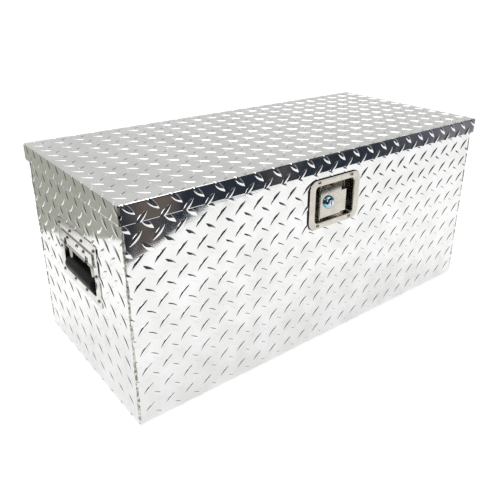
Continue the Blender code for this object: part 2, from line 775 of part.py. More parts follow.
def make_lock():
    """Barrel with a domed bezel, its nut, the plug that the key turns, and the cam on the plug."""
    centre = Vector((LOCK_X, PADDLE_FACE, LATCH_Z))
    outward = (0, -1, 0)
    bore = PLUG_RADIUS + GAP
    barrel_end = -(CAM_FRONT - PADDLE_FACE) + GAP
    barrel = turned(
        "lock_barrel",
        [
            (bore, BEZEL_HEIGHT),
            (0.72 * BEZEL_RADIUS, BEZEL_HEIGHT),
            (0.92 * BEZEL_RADIUS, 0.75 * BEZEL_HEIGHT),
            (BEZEL_RADIUS, 0.35 * BEZEL_HEIGHT),
            (BEZEL_RADIUS, GAP),
            (BARREL_RADIUS, GAP),
            (BARREL_RADIUS, barrel_end),
            (bore, barrel_end),
            (bore, BEZEL_HEIGHT),
        ],
        centre,
        outward,
        CHROME,
        20,
    )
    nut_front = PADDLE_FACE + LATCH_SHEET + GAP
    nut = cylinder(
        "lock_nut",
        (LOCK_X, nut_front, LATCH_Z),
        (LOCK_X, nut_front + 3 * MM, LATCH_Z),
        BARREL_RADIUS + 2.6 * MM,
        ZINC,
        sides=6,
    )
    nut_bore = cylinder(
        "nut_bore",
        (LOCK_X, nut_front - MM, LATCH_Z),
        (LOCK_X, nut_front + 4 * MM, LATCH_Z),
        BARREL_RADIUS + GAP,
    )
    cut(nut, nut_bore)
    cam_back = -(CAM_FRONT + CAM_THICKNESS - PADDLE_FACE)
    plug = turned(
        "lock_plug",
        [
            (0, BEZEL_HEIGHT + 0.5 * MM),
            (PLUG_RADIUS, BEZEL_HEIGHT + 0.5 * MM),
            (PLUG_RADIUS, barrel_end),
            (CAM_STEM_RADIUS, barrel_end),
            (CAM_STEM_RADIUS, cam_back - 0.5 * MM),
            (0, cam_back - 0.5 * MM),
        ],
        centre,
        outward,
        ZINC,
        16,
    )
    front = PADDLE_FACE - BEZEL_HEIGHT
    keyway = block(
        "keyway", (LOCK_X - 0.9 * MM, front - 2 * MM, LATCH_Z - 4 * MM), (LOCK_X + 0.9 * MM, front + 8 * MM, LATCH_Z + 4 * MM)
    )
    cut(plug, keyway)
    cam = block(
        "lock_cam",
        (LOCK_X - 5 * MM, CAM_FRONT, LATCH_Z - 5 * MM),
        (LOCK_X + 5 * MM, CAM_FRONT + CAM_THICKNESS, LATCH_Z + CAM_LENGTH),
        ZINC,
        round_along=1,
        radius=3 * MM,
    )
    stem_hole = cylinder(
        "stem_hole",
        (LOCK_X, CAM_FRONT - MM, LATCH_Z),
        (LOCK_X, CAM_FRONT + CAM_THICKNESS + MM, LATCH_Z),
        CAM_STEM_RADIUS + GAP,
    )
    cut(cam, stem_hole)
    return barrel, nut, plug, cam


def make_bolt():
    """The slide bolt, the case it runs in, its spring, and the strike that hangs from the lid."""
    half = BOLT_HEIGHT / 2
    bolt = block("slide_bolt", (BOLT_NOSE, BOLT_FRONT, LATCH_Z - half), (BOLT_REAR, BOLT_BACK, LATCH_Z + half), ZINC)
    window = block(
        "bolt_window",
        (PIN_X - BOLT_WINDOW, BOLT_FRONT - MM, LATCH_Z - ARM_HEIGHT / 2 - GAP),
        (PIN_X + BOLT_WINDOW, BOLT_BACK + MM, LATCH_Z + ARM_HEIGHT / 2 + GAP),
    )
    cut(bolt, window)
    run = half + GAP
    case_back = BOLT_BACK + 2 * GAP + CASE_SHEET
    case = block(
        "bolt_case",
        (CASE_LEFT, PAN_BACK + GAP, LATCH_Z - run - CASE_SHEET),
        (CASE_RIGHT, case_back, LATCH_Z + run + CASE_SHEET),
        ZINC,
    )
    feet = block(
        "case_feet",
        (CASE_LEFT, PAN_BACK + GAP, LATCH_Z - run - CASE_SHEET - CASE_FOOT),
        (CASE_RIGHT, PAN_BACK + GAP + CASE_SHEET, LATCH_Z + run + CASE_SHEET + CASE_FOOT),
    )
    cavity = block(
        "case_cavity",
        (CASE_LEFT - MM, PAN_BACK - MM, LATCH_Z - run),
        (CASE_RIGHT - CASE_SHEET, case_back - CASE_SHEET, LATCH_Z + run),
    )
    join(case, feet)
    cut(case, cavity)
    spring_start = (BOLT_REAR + GAP + SPRING_WIRE, (BOLT_FRONT + BOLT_BACK) / 2, LATCH_Z)
    spring_run = SPRING_LENGTH - 2 * SPRING_WIRE
    turns = coil(spring_start, (1, 0, 0), (0, 0, 1), SPRING_RADIUS, spring_run, SPRING_TURNS)
    wire("bolt_spring", turns, SPRING_WIRE, ZINC, resolution=1)

    middle = (BOLT_FRONT + BOLT_BACK) / 2
    front, back = middle - STRIKE_WIDTH / 2, middle + STRIKE_WIDTH / 2
    low = LATCH_Z - half - 5 * MM
    top = LID_UNDERSIDE - GAP
    left = STRIKE_RIGHT - STRIKE_THICKNESS
    strike = block("lid_strike", (left, front, low), (STRIKE_RIGHT, back, top), ZINC)
    foot = block("strike_foot", (left, front, top - STRIKE_THICKNESS), (left + STRIKE_FOOT, back, top))
    slot = block(
        "strike_slot",
        (left - MM, BOLT_FRONT - MM, LATCH_Z - half - MM),
        (STRIKE_RIGHT + MM, BOLT_BACK + MM, LATCH_Z + half + MM),
    )
    join(strike, foot)
    cut(strike, slot)
    return bolt, strike


def make_dish(side, end):
    """The recessed dish of one end handle and its rivets."""
    half_across, half_up = DISH_FLANGE[0] / 2, DISH_FLANGE[1] / 2
    mouth_across, mouth_up = DISH_MOUTH[0] / 2, DISH_MOUTH[1] / 2

    def dish_block(name, depths, grow, radius, finish=None):
        corners = face_block(
            side,
            depths,
            (DISH_Y - mouth_across - grow, DISH_Y + mouth_across + grow),
            (MOUTH_Z - mouth_up - grow, MOUTH_Z + mouth_up + grow),
        )
        return block(name, *corners, finish, round_along=0, radius=radius)

    corners = face_block(
        side,
        (GAP, GAP + DISH_SHEET),
        (DISH_Y - half_across, DISH_Y + half_across),
        (DISH_Z - half_up, DISH_Z + half_up),
    )
    dish = block(f"handle_dish_{end}", *corners, STAINLESS, round_along=0, radius=DISH_FLANGE_RADIUS)
    tub = dish_block(f"dish_tub_{end}", (-DISH_DEPTH, GAP + DISH_SHEET / 2), DISH_SHEET, DISH_MOUTH_RADIUS + DISH_SHEET)
    pocket = dish_block(f"dish_pocket_{end}", (DISH_SHEET - DISH_DEPTH, 9 * MM), 0, DISH_MOUTH_RADIUS)
    holes = rivet_holes(f"dish_holes_{end}", dish_rivet_seats(side), (side, 0, 0), DISH_GRIP)
    join(dish, tub)
    cut(dish, pocket, holes)
    for place, seat in enumerate(dish_rivet_seats(side), 1):
        rivet(f"handle_rivet_{end}_{place}", seat, (side, 0, 0), DISH_GRIP)


def make_hinge_plate(side, end):
    """The plate over the dish's top, with two knuckles for the bail and a slot for each of its arms."""
    half = PLATE_WIDTH / 2
    low, high = DISH_Z + PLATE_LOW, DISH_Z + PLATE_HIGH
    corners = face_block(side, (PLATE_OUT, PLATE_OUT + PLATE_SHEET), (DISH_Y - half, DISH_Y + half), (low, high))
    plate = block(f"handle_plate_{end}", *corners, STAINLESS)
    hem_x = side * (BODY_WIDTH / 2 + PLATE_OUT + PLATE_HEM)
    hem = cylinder(f"plate_hem_{end}", (hem_x, DISH_Y - half, low), (hem_x, DISH_Y + half, low), PLATE_HEM, sides=10)
    join(plate, hem)
    slot_half = BAIL_RADIUS + 4 * GAP
    slots = []
    for way in (-1, 1):
        middle = DISH_Y + way * BAIL_SPREAD
        slots.append(
            face_block(
                side,
                (-PIVOT_SET_IN, PLATE_OUT + 3 * PLATE_HEM),
                (middle - slot_half, middle + slot_half),
                (low - 2 * PLATE_HEM, PIVOT_Z + slot_half),
            )
        )
    cut(plate, blocks(f"bail_slots_{end}", slots))
    pivot_x = side * (BODY_WIDTH / 2 - PIVOT_SET_IN)
    for way in (-1, 1):
        ends = [(pivot_x, DISH_Y + way * across, PIVOT_Z) for across in (KNUCKLE_INNER, KNUCKLE_OUTER)]
        join(plate, cylinder(f"handle_knuckle_{end}_{way + 2}", *ends, HANDLE_KNUCKLE))
    bore_ends = [(pivot_x, DISH_Y + way * KNUCKLE_OUTER * 1.1, PIVOT_Z) for way in (-1, 1)]
    return cut(plate, cylinder(f"handle_bore_{end}", *bore_ends, BAIL_RADIUS + GAP))


def make_grip(side, end):
    """The rubber grip, bored for the bail's lower run and for the two arms that come out of its top."""
    grip_x = side * (BODY_WIDTH / 2 - GRIP_SET_IN)
    pivot_x = side * (BODY_WIDTH / 2 - PIVOT_SET_IN)
    grip_ends = [Vector((grip_x, DISH_Y + way * GRIP_LENGTH / 2, GRIP_Z)) for way in (-1, 1)]
    grip = cylinder(f"handle_grip_{end}", *grip_ends, GRIP_RADIUS, RUBBER)
    bore_radius = BAIL_RADIUS + GAP
    elbows = [Vector((grip_x, DISH_Y + way * BAIL_SPREAD, GRIP_Z)) for way in (-1, 1)]
    overrun = Vector((0, bore_radius, 0))
    bore = cylinder(f"grip_bore_{end}", elbows[0] - overrun, elbows[1] + overrun, bore_radius, sides=10)
    cut(grip, bore)
    bend = BAIL_CORNER - BAIL_RADIUS
    for elbow, way in zip(elbows, (1, -1)):
        arm_top = Vector((pivot_x, elbow.y, PIVOT_Z))
        arm_hole = cylinder(f"arm_hole_{end}", elbow, arm_top, bore_radius, sides=10)
        inner, upper = elbow + Vector((0, way * bend, 0)), elbow + Vector((0, 0, bend))
        cut(grip, arm_hole, cylinder(f"bend_hole_{end}", inner, upper, bore_radius + GAP, sides=10))
    return grip


def make_handle(side, end):
    """The bail, its rubber grip and its return spring. The bail and grip turn round the pivot."""
    make_dish(side, end)
    make_hinge_plate(side, end)
    pivot_x = side * (BODY_WIDTH / 2 - PIVOT_SET_IN)
    grip_x = side * (BODY_WIDTH / 2 - GRIP_SET_IN)
    points = bend_points(
        [
            (pivot_x, DISH_Y - BAIL_TAIL, PIVOT_Z),
            (pivot_x, DISH_Y - BAIL_SPREAD, PIVOT_Z),
            (grip_x, DISH_Y - BAIL_SPREAD, GRIP_Z),
            (grip_x, DISH_Y + BAIL_SPREAD, GRIP_Z),
            (pivot_x, DISH_Y + BAIL_SPREAD, PIVOT_Z),
            (pivot_x, DISH_Y + BAIL_TAIL, PIVOT_Z),
        ],
        BAIL_CORNER - BAIL_RADIUS,
    )
    bail = wire(f"handle_bail_{end}", points, BAIL_RADIUS, CHROME)
    grip = make_grip(side, end)
    coil_length = KNUCKLE_INNER - 2 * COIL_WIRE - BAIL_TAIL - 2 * GAP
    coil_start = (pivot_x, DISH_Y + BAIL_TAIL + COIL_WIRE, PIVOT_Z)
    turns = coil(coil_start, (0, 1, 0), (0, 0, 1), COIL_RADIUS, coil_length, COIL_TURNS)
    wire(f"handle_spring_{end}", turns, COIL_WIRE, ZINC, resolution=1)
    hold(f"handle_axis_{end}", Vector((pivot_x, DISH_Y, PIVOT_Z)), bail, grip)


def eye(target, name, centre):
    """Joins a flat eye round a stud to a strut end. The stud's hole is cut by the caller."""
    half = Vector((EYE_WIDTH / 2, 0, 0))
    return join(target, cylinder(name, centre - half, centre + half, EYE_RADIUS))


def make_strut():
    """A gas strut: tube and rod with an eye at each end, a bracket on the end panel and one on the lid."""
    foot = Vector((STRUT_X, STRUT_FOOT.y, STRUT_FOOT.z))
    head = Vector((STRUT_X, STRUT_HEAD.y, STRUT_HEAD.z))
    along = (head - foot).normalized()
    reach = (head - foot).length
    tube_end = EYE_NECK + STRUT_TUBE_LENGTH
    inner = STRUT_TUBE_RADIUS - STRUT_TUBE_WALL
    rod_bore = STRUT_ROD_RADIUS + GAP
    tube = turned(
        "strut_tube",
        [
            (rod_bore, tube_end),
            (STRUT_TUBE_RADIUS, tube_end),
            (STRUT_TUBE_RADIUS, EYE_NECK),
            (4 * MM, EYE_NECK),
            (4 * MM, EYE_RADIUS / 2),
            (0, EYE_RADIUS / 2),
            (0, EYE_NECK + STRUT_TUBE_WALL),
            (inner, EYE_NECK + STRUT_TUBE_WALL),
            (inner, tube_end - STRUT_END_PLAY),
            (rod_bore, tube_end - STRUT_END_PLAY),
            (rod_bore, tube_end),
        ],
        foot,
        along,
        STRUT_BLACK,
    )
    eye(tube, "tube_eye", foot)
    piston_low = EYE_NECK + STRUT_TUBE_WALL + STRUT_END_PLAY
    rod = turned(
        "strut_rod",
        [
            (0, reach - EYE_RADIUS / 2),
            (STRUT_ROD_RADIUS, reach - EYE_RADIUS / 2),
            (STRUT_ROD_RADIUS, piston_low + STRUT_PISTON_LENGTH),
            (inner - GAP, piston_low + STRUT_PISTON_LENGTH),
            (inner - GAP, piston_low),
            (0, piston_low),
        ],
        foot,
        along,
        CHROME,
    )
    eye(rod, "rod_eye", head)
    clear = Vector((EYE_WIDTH, 0, 0))
    for target, centre in ((tube, foot), (rod, head)):
        hole = cylinder(f"{target.name}_hole", centre - clear, centre + clear, STUD_RADIUS + GAP, sides=12)
        cut(target, hole)

    panel_face = BODY_WIDTH / 2 - SHEET - GAP
    half = BRACKET_SIZE / 2
    bracket = block(
        "strut_bracket_body",
        (panel_face - BRACKET_SHEET, foot.y - half, foot.z - half / 2),
        (panel_face, foot.y + half, foot.z + half),
        PLAIN_ALUMINIUM,
        round_along=0,
        radius=4 * MM,
    )
    stud_end = foot - Vector((EYE_WIDTH / 2 + 3 * MM, 0, 0))
    stud = cylinder("body_stud", (panel_face - MM, foot.y, foot.z), stud_end, STUD_RADIUS, sides=12)
    join(bracket, stud)

    lid_plate = STRUT_X + STRUT_TUBE_RADIUS + 0.5 * MM
    top = LID_UNDERSIDE - GAP
    width = LID_BRACKET_WIDTH / 2
    lid_bracket = block(
        "strut_bracket_lid",
        (lid_plate, head.y - width, head.z - width / 2),
        (lid_plate + BRACKET_SHEET, head.y + width, top),
        PLAIN_ALUMINIUM,
    )
    foot_plate = block(
        "lid_bracket_foot",
        (lid_plate + BRACKET_SHEET - LID_BRACKET_FOOT, head.y - width, top - BRACKET_SHEET),
        (lid_plate + BRACKET_SHEET, head.y + width, top),
    )
    lid_stud = cylinder(
        "lid_stud",
        (lid_plate + MM, head.y, head.z),
        (STRUT_X + EYE_WIDTH / 2 + GAP, head.y, head.z),
        STUD_RADIUS,
        sides=12,
    )
    join(lid_bracket, foot_plate, lid_stud)
    return tube, rod, lid_bracket


def build():
    make_wrap()
    for side, end in ((-1, "left"), (1, "right")):
        make_end_panel(side, end)
        make_handle(side, end)
    make_rim_seal()
    lid = make_lid_sheet()
    stiffener = make_lid_stiffener()
    lid_leaf = make_hinge()[1]
    make_latch_pan()
    paddle = make_paddle()
    barrel, nut, plug, cam = make_lock()
    bolt, strike = make_bolt()
    tube, rod, lid_bracket = make_strut()
    hold("lid_axis", HINGE_AXIS, lid, stiffener, lid_leaf, strike, lid_bracket)
    paddle_axis = Vector((PIN_X, PIN_Y, LATCH_Z))
    paddle_empty = hold("paddle_axis", paddle_axis, paddle, barrel, nut)
    lock_empty = hold("lock_axis", Vector((LOCK_X, PADDLE_FACE, LATCH_Z)), plug, cam)
    lock_empty.parent = paddle_empty
    lock_empty.location = lock_empty.location - paddle_axis
    hold("bolt_axis", Vector((PIN_X, (BOLT_FRONT + BOLT_BACK) / 2, LATCH_Z)), bolt)
    hold("strut_axis", Vector((STRUT_X, STRUT_FOOT.y, STRUT_FOOT.z)), tube, rod)


build()
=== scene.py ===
# %% [markdown]
# # A tread-plate tool box
#
# The box is a chest bent from bright aluminium tread plate, with a lid of the same plate, a stainless
# paddle latch and a recessed folding handle at each end. The frame already holds every part at its size
# and place. This script makes what the eye looks for: the raised lugs of the plate, the drawn edges of
# the pressed fittings, and the finish of each metal and rubber.

# %% Load the frame
import json
import math

import bpy
import numpy as np
from mathutils import Matrix, Vector, noise


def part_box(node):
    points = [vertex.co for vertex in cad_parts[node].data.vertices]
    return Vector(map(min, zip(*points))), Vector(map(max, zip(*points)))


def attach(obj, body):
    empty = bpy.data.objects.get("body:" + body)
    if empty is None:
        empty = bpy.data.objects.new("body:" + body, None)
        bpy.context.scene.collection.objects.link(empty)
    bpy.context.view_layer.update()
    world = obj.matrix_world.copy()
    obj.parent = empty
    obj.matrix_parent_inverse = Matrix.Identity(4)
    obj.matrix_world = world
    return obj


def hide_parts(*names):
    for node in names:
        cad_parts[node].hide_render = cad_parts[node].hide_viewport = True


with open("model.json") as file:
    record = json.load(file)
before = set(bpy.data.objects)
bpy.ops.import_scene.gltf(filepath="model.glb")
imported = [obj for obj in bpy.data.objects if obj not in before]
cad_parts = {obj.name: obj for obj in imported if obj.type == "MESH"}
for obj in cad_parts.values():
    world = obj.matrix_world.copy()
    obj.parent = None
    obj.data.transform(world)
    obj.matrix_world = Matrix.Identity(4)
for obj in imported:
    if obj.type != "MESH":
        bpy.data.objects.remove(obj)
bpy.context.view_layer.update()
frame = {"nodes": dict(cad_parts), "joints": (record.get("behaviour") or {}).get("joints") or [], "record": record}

MM = 0.001
JOINTS = {joint["name"]: joint for joint in frame["joints"]}

# %% [markdown]
# The camera stands to the left of the box and above it. Its lens and shift are set once.

# %% Camera
bpy.ops.object.select_all(action="DESELECT")
bpy.ops.object.camera_add(
    location=(-0.64442, -0.76945, 0.59975),
    rotation=(math.radians(66.942), math.radians(-0.510), math.radians(-38.709)),
)
camera = bpy.context.object
camera.data.lens = 40.41
camera.data.shift_x = -0.0206
camera.data.shift_y = -0.0656
bpy.context.scene.camera = camera
print("camera", [round(place, 2) for place in camera.location])

# %% [markdown]
# Bright metal shows its surroundings more than its own colour, so the studio matters as much as the
# finish. The floor is a white sheet that ends a little way from the box. Past its edge a mirror sees a
# dark room in front and to the left, a greyer wall to the right, a light wall behind and white overhead.
# The walls are colours by direction in the world. Real walls would do too, but they would shade the
# floor. The camera itself sees plain white wherever there is no floor.

# %% Studio surroundings
world = bpy.data.worlds.new("studio")
bpy.context.scene.world = world
world.use_nodes = True
bpy.context.scene.view_settings.view_transform = "Standard"


def link_up(tree, source, target):
    tree.links.new(source, target)


def fade(tree, value, low, high):
    """A smooth step: 0 where value is below low, 1 where it is above high."""
    step = tree.nodes.new("ShaderNodeMapRange")
    step.interpolation_type = "SMOOTHSTEP"
    step.inputs["From Min"].default_value = low
    step.inputs["From Max"].default_value = high
    link_up(tree, value, step.inputs["Value"])
    return step.outputs["Result"]


def mix_colours(tree, share, below, above):
    """below where share is 0 and above where it is 1. Each is a colour or another node's output."""
    node = tree.nodes.new("ShaderNodeMix")
    node.data_type = "RGBA"
    link_up(tree, share, node.inputs["Factor"])
    for socket, colour in ((node.inputs[6], below), (node.inputs[7], above)):
        if isinstance(colour, tuple):
            socket.default_value = (*colour, 1)
        else:
            link_up(tree, colour, socket)
    return node.outputs[2]


tree = world.node_tree
tree.nodes.clear()
direction = tree.nodes.new("ShaderNodeTexCoord").outputs["Generated"]
split = tree.nodes.new("ShaderNodeSeparateXYZ")
link_up(tree, direction, split.inputs[0])
right, back, up = split.outputs
drapes = tree.nodes.new("ShaderNodeTexNoise")
drapes.inputs["Scale"].default_value = 11
stripes = tree.nodes.new("ShaderNodeMapping")
stripes.inputs["Scale"].default_value = (1, 1, 0.25)
link_up(tree, direction, stripes.inputs["Vector"])
link_up(tree, stripes.outputs["Vector"], drapes.inputs["Vector"])
NAVY_DRAPE, BROWN_DRAPE = (0.028, 0.036, 0.052), (0.15, 0.125, 0.11)
BLUE_GREY, OLIVE_GREY, LIGHT_GREY = (0.36, 0.37, 0.45), (0.44, 0.445, 0.39), (0.71, 0.715, 0.705)
CEILING, BACKDROP = (1.35, 1.35, 1.35), (1.0, 1.0, 1.0)
dark_room = mix_colours(tree, fade(tree, drapes.outputs["Fac"], 0.48, 0.68), NAVY_DRAPE, BROWN_DRAPE)
side_wall = mix_colours(tree, fade(tree, right, 0.72, 0.98), dark_room, BLUE_GREY)
low_wall = mix_colours(tree, fade(tree, back, 0.30, 0.62), side_wall, OLIVE_GREY)
back_wall = mix_colours(tree, fade(tree, back, 0.20, 0.55), side_wall, LIGHT_GREY)
walls = mix_colours(tree, fade(tree, up, -0.05, 0.12), low_wall, back_wall)
walls = mix_colours(tree, fade(tree, up, 0.70, 0.94), walls, CEILING)
seen = tree.nodes.new("ShaderNodeLightPath").outputs["Is Camera Ray"]
background = tree.nodes.new("ShaderNodeBackground")
link_up(tree, mix_colours(tree, seen, walls, BACKDROP), background.inputs["Color"])
link_up(tree, background.outputs[0], tree.nodes.new("ShaderNodeOutputWorld").inputs["Surface"])
print("studio surroundings:", len(tree.nodes), "nodes")

# %% [markdown]
# Two large area lights give soft shade: one overhead and one in front. The floor's corners are chosen so
# that its edge is just where a wall of the box should stop showing white and start showing the room. It
# lies a little below the box, because the lugs under the chest hold it up.

# %% Lights and floor


def add_light(name, place, aim, size, power):
    bpy.ops.object.light_add(type="AREA", location=place)
    light = bpy.context.object
    light.name = name
    light.data.size = size
    light.data.energy = power
    light.rotation_euler = (Vector(aim) - Vector(place)).to_track_quat("-Z", "Y").to_euler()
    print(name, power, "W")


add_light("overhead softbox", (0.2, 0.1, 2.2), (0, 0, 0), 1.4, 14)
add_light("front fill", (-1.4, -1.9, 1.5), (0, 0, 0.1), 1.0, 7)

FLOOR_DROP = 1.3 * MM
FLOOR_CORNERS = ((-1.077, -0.166), (0.194, -0.832), (1.8, -0.98), (3.0, 0.6), (1.6, 2.9), (0.35, 1.75))
PAPER_WHITE = (0.62, 0.62, 0.62, 1)
bpy.ops.mesh.primitive_circle_add(vertices=len(FLOOR_CORNERS), fill_type="NGON", radius=1)
floor = bpy.context.object
floor.name = "floor"
for vertex, corner in zip(floor.data.vertices, FLOOR_CORNERS):
    vertex.co = (*corner, -FLOOR_DROP)
paper = bpy.data.materials.new("white paper")
paper.use_nodes = True
shader = paper.node_tree.nodes["Principled BSDF"]
shader.inputs["Base Color"].default_value = PAPER_WHITE
shader.inputs["Emission Color"].default_value = (1, 1, 1, 1)
shader.inputs["Emission Strength"].default_value = 0.66
shader.inputs["Roughness"].default_value = 0.9
shader.inputs["Specular IOR Level"].default_value = 0.1
floor.data.materials.append(paper)
print("floor with", len(floor.data.vertices), "corners")

# %% [markdown]
# ## Finishes
#
# Every finish is a Principled shader whose colour and roughness vary a little with noise, and most also get a fine
# relief from noise.
# The noise reads Object coordinates, so it stays where it is when a piece moves. Stretching it along one
# axis turns plain noise into the fine lines of rolling or brushing.

# %% Tools for finishes


def new_finish(name, metallic):
    finish = bpy.data.materials.new(name)
    finish.use_nodes = True
    finish.node_tree.nodes["Principled BSDF"].inputs["Metallic"].default_value = metallic
    print("finish:", name)
    return finish


def add_noise(finish, scale, stretch=(1, 1, 1), detail=3):
    """Noise in Object coordinates. A stretch under 1 on an axis draws the noise out along it."""
    tree = finish.node_tree
    coordinates = tree.nodes.new("ShaderNodeTexCoord").outputs["Object"]
    mapping = tree.nodes.new("ShaderNodeMapping")
    mapping.inputs["Scale"].default_value = stretch
    link_up(tree, coordinates, mapping.inputs["Vector"])
    texture = tree.nodes.new("ShaderNodeTexNoise")
    texture.inputs["Scale"].default_value = scale
    texture.inputs["Detail"].default_value = detail
    link_up(tree, mapping.outputs["Vector"], texture.inputs["Vector"])
    return texture.outputs["Fac"]


def vary_colour(finish, scale, low, high, start=0.35, end=0.65, **noise_shape):
    tree = finish.node_tree
    ramp = tree.nodes.new("ShaderNodeValToRGB")
    ramp.color_ramp.elements[0].position = start
    ramp.color_ramp.elements[0].color = (*low, 1)
    ramp.color_ramp.elements[1].position = end
    ramp.color_ramp.elements[1].color = (*high, 1)
    link_up(tree, add_noise(finish, scale, **noise_shape), ramp.inputs["Fac"])
    link_up(tree, ramp.outputs["Color"], tree.nodes["Principled BSDF"].inputs["Base Color"])


def vary_roughness(finish, scale, low, high, **noise_shape):
    tree = finish.node_tree
    span = tree.nodes.new("ShaderNodeMapRange")
    span.inputs["From Min"].default_value = 0.3
    span.inputs["From Max"].default_value = 0.7
    span.inputs["To Min"].default_value = low
    span.inputs["To Max"].default_value = high
    link_up(tree, add_noise(finish, scale, **noise_shape), span.inputs["Value"])
    link_up(tree, span.outputs["Result"], tree.nodes["Principled BSDF"].inputs["Roughness"])


def add_relief(finish, scale, depth, under=None, **noise_shape):
    """Bump whose whole height is depth, on top of another relief where one is given."""
    tree = finish.node_tree
    bump = tree.nodes.new("ShaderNodeBump")
    bump.inputs["Strength"].default_value = 1
    bump.inputs["Distance"].default_value = depth
    link_up(tree, add_noise(finish, scale, **noise_shape), bump.inputs["Height"])
    if under is not None:
        link_up(tree, under, bump.inputs["Normal"])
    link_up(tree, bump.outputs["Normal"], tree.nodes["Principled BSDF"].inputs["Normal"])
    return bump.outputs["Normal"]


# %% [markdown]
# Tread plate is rolled bright, so it is close to a mirror. What keeps it from looking like one is a
# faint waviness left by the rolls, fine rolling lines along the sheet, and cloudy patches where the
# surface is a little duller.

# %% Bright rolled plate
rolled_plate = new_finish("bright rolled plate", 1)
vary_colour(rolled_plate, 22, (0.73, 0.735, 0.72), (0.81, 0.815, 0.805))
vary_roughness(rolled_plate, 55, 0.03, 0.10, detail=5)
waves = add_relief(rolled_plate, 16, 0.25 * MM, detail=1)
add_relief(rolled_plate, 700, 0.012 * MM, waves, stretch=(0.06, 1, 1), detail=2)

# %% Mill aluminium, for what is inside
mill_aluminium = new_finish("mill aluminium", 1)
vary_colour(mill_aluminium, 30, (0.74, 0.75, 0.76), (0.84, 0.85, 0.86))
vary_roughness(mill_aluminium, 90, 0.28, 0.44)
add_relief(mill_aluminium, 900, 0.02 * MM, stretch=(0.05, 1, 1))

# %% [markdown]
# The pan, paddle and dishes are pressed from stainless sheet with a light brush. It is warmer and
# greyer than aluminium.

# %% Brushed stainless
stainless = new_finish("brushed stainless", 1)
vary_colour(stainless, 60, (0.54, 0.51, 0.45), (0.63, 0.595, 0.53))
vary_roughness(stainless, 140, 0.14, 0.25, detail=4)
add_relief(stainless, 1500, 0.006 * MM, stretch=(1, 1, 0.05), detail=2)

# %% Bright stainless, for the handles
bright_stainless = new_finish("bright stainless", 1)
vary_colour(bright_stainless, 45, (0.60, 0.59, 0.56), (0.71, 0.70, 0.67))
vary_roughness(bright_stainless, 120, 0.12, 0.25, detail=4)
add_relief(bright_stainless, 260, 0.02 * MM)

# %% Bright chrome, with a teal-blue reflection painted into its colour
chrome = new_finish("chrome with painted teal reflection", 1)
# The teal-blue colour is a painted reflection, not the chrome's own tone.
vary_colour(chrome, 120, (0.22, 0.50, 0.62), (0.34, 0.60, 0.70))
vary_roughness(chrome, 400, 0.03, 0.08)

# %% Zinc plate
zinc = new_finish("zinc plate", 1)
vary_colour(zinc, 260, (0.42, 0.40, 0.36), (0.60, 0.58, 0.54))
vary_roughness(zinc, 420, 0.16, 0.32)
add_relief(zinc, 1100, 0.01 * MM)

# %% Key plug: nickel with a pinkish cast
nickel = new_finish("nickel plug", 1)
vary_colour(nickel, 300, (0.82, 0.73, 0.71), (0.93, 0.86, 0.84))
vary_roughness(nickel, 500, 0.22, 0.38)

# %% Rubber for the seal and gasket
seal_rubber = new_finish("seal rubber", 0)
vary_colour(seal_rubber, 180, (0.012, 0.012, 0.012), (0.030, 0.030, 0.029))
vary_roughness(seal_rubber, 320, 0.62, 0.85)
add_relief(seal_rubber, 1400, 0.03 * MM)

# %% Moulded grip
grip_rubber = new_finish("moulded grip", 0)
grip_rubber.node_tree.nodes["Principled BSDF"].inputs["Specular IOR Level"].default_value = 0.25
vary_colour(grip_rubber, 90, (0.003, 0.005, 0.004), (0.007, 0.011, 0.009))
vary_roughness(grip_rubber, 260, 0.42, 0.60)
add_relief(grip_rubber, 1600, 0.02 * MM)

# %% Black paint on the strut
black_paint = new_finish("black paint", 0)
vary_colour(black_paint, 200, (0.014, 0.014, 0.015), (0.028, 0.028, 0.030))
vary_roughness(black_paint, 500, 0.20, 0.36)

# %% [markdown]
# The corners are welded and left as they cooled. The bead has dull silver tops, and brown and olive
# tarnish in the hollows.

# %% Weld metal
weld_metal = new_finish("weld metal", 1)
vary_colour(weld_metal, 170, (0.26, 0.24, 0.19), (0.78, 0.77, 0.71), 0.36, 0.58, detail=5)
vary_roughness(weld_metal, 230, 0.32, 0.60)
add_relief(weld_metal, 420, 0.25 * MM)

# %% Dark bar for the bails
bail_bar = new_finish("handle bar", 1)
vary_colour(bail_bar, 80, (0.36, 0.35, 0.32), (0.48, 0.47, 0.44))
vary_roughness(bail_bar, 200, 0.15, 0.30)

# %% Lid corner welds: grey-brown weld metal, with the shade of the gap between the flaps painted in near-black
weld_with_painted_gap_shade = new_finish("weld with painted gap shade", 1)
# The near-black end of this colour is painted shade of the gap between the lid's flaps. The grey-brown end is the
# weld's own tarnish.
vary_colour(weld_with_painted_gap_shade, 150, (0.03, 0.03, 0.025), (0.46, 0.44, 0.38), 0.42, 0.66, detail=4)
vary_roughness(weld_with_painted_gap_shade, 230, 0.30, 0.60)
add_relief(weld_with_painted_gap_shade, 420, 0.25 * MM)

# %% [markdown]
# ## Small tools
#
# Each piece is modelled the way it would be by hand: add a primitive, choose faces or edges, extrude,
# inset, bevel or bisect them, then apply modifiers. These short functions do what every piece needs.

# %% Choosing, cutting and finishing a mesh


def pick(piece):
    """Selects this piece and nothing else."""
    bpy.ops.object.select_all(action="DESELECT")
    piece.select_set(True)
    bpy.context.view_layer.objects.active = piece


def name_piece(name):
    """Names the object that was just added and returns it."""
    piece = bpy.context.object
    piece.name = piece.data.name = name
    return piece


def settle(piece):
    """Moves the piece's place, turn and scale into its mesh, so that its object sits at the origin."""
    pick(piece)
    bpy.ops.object.transform_apply(location=True, rotation=True, scale=True)


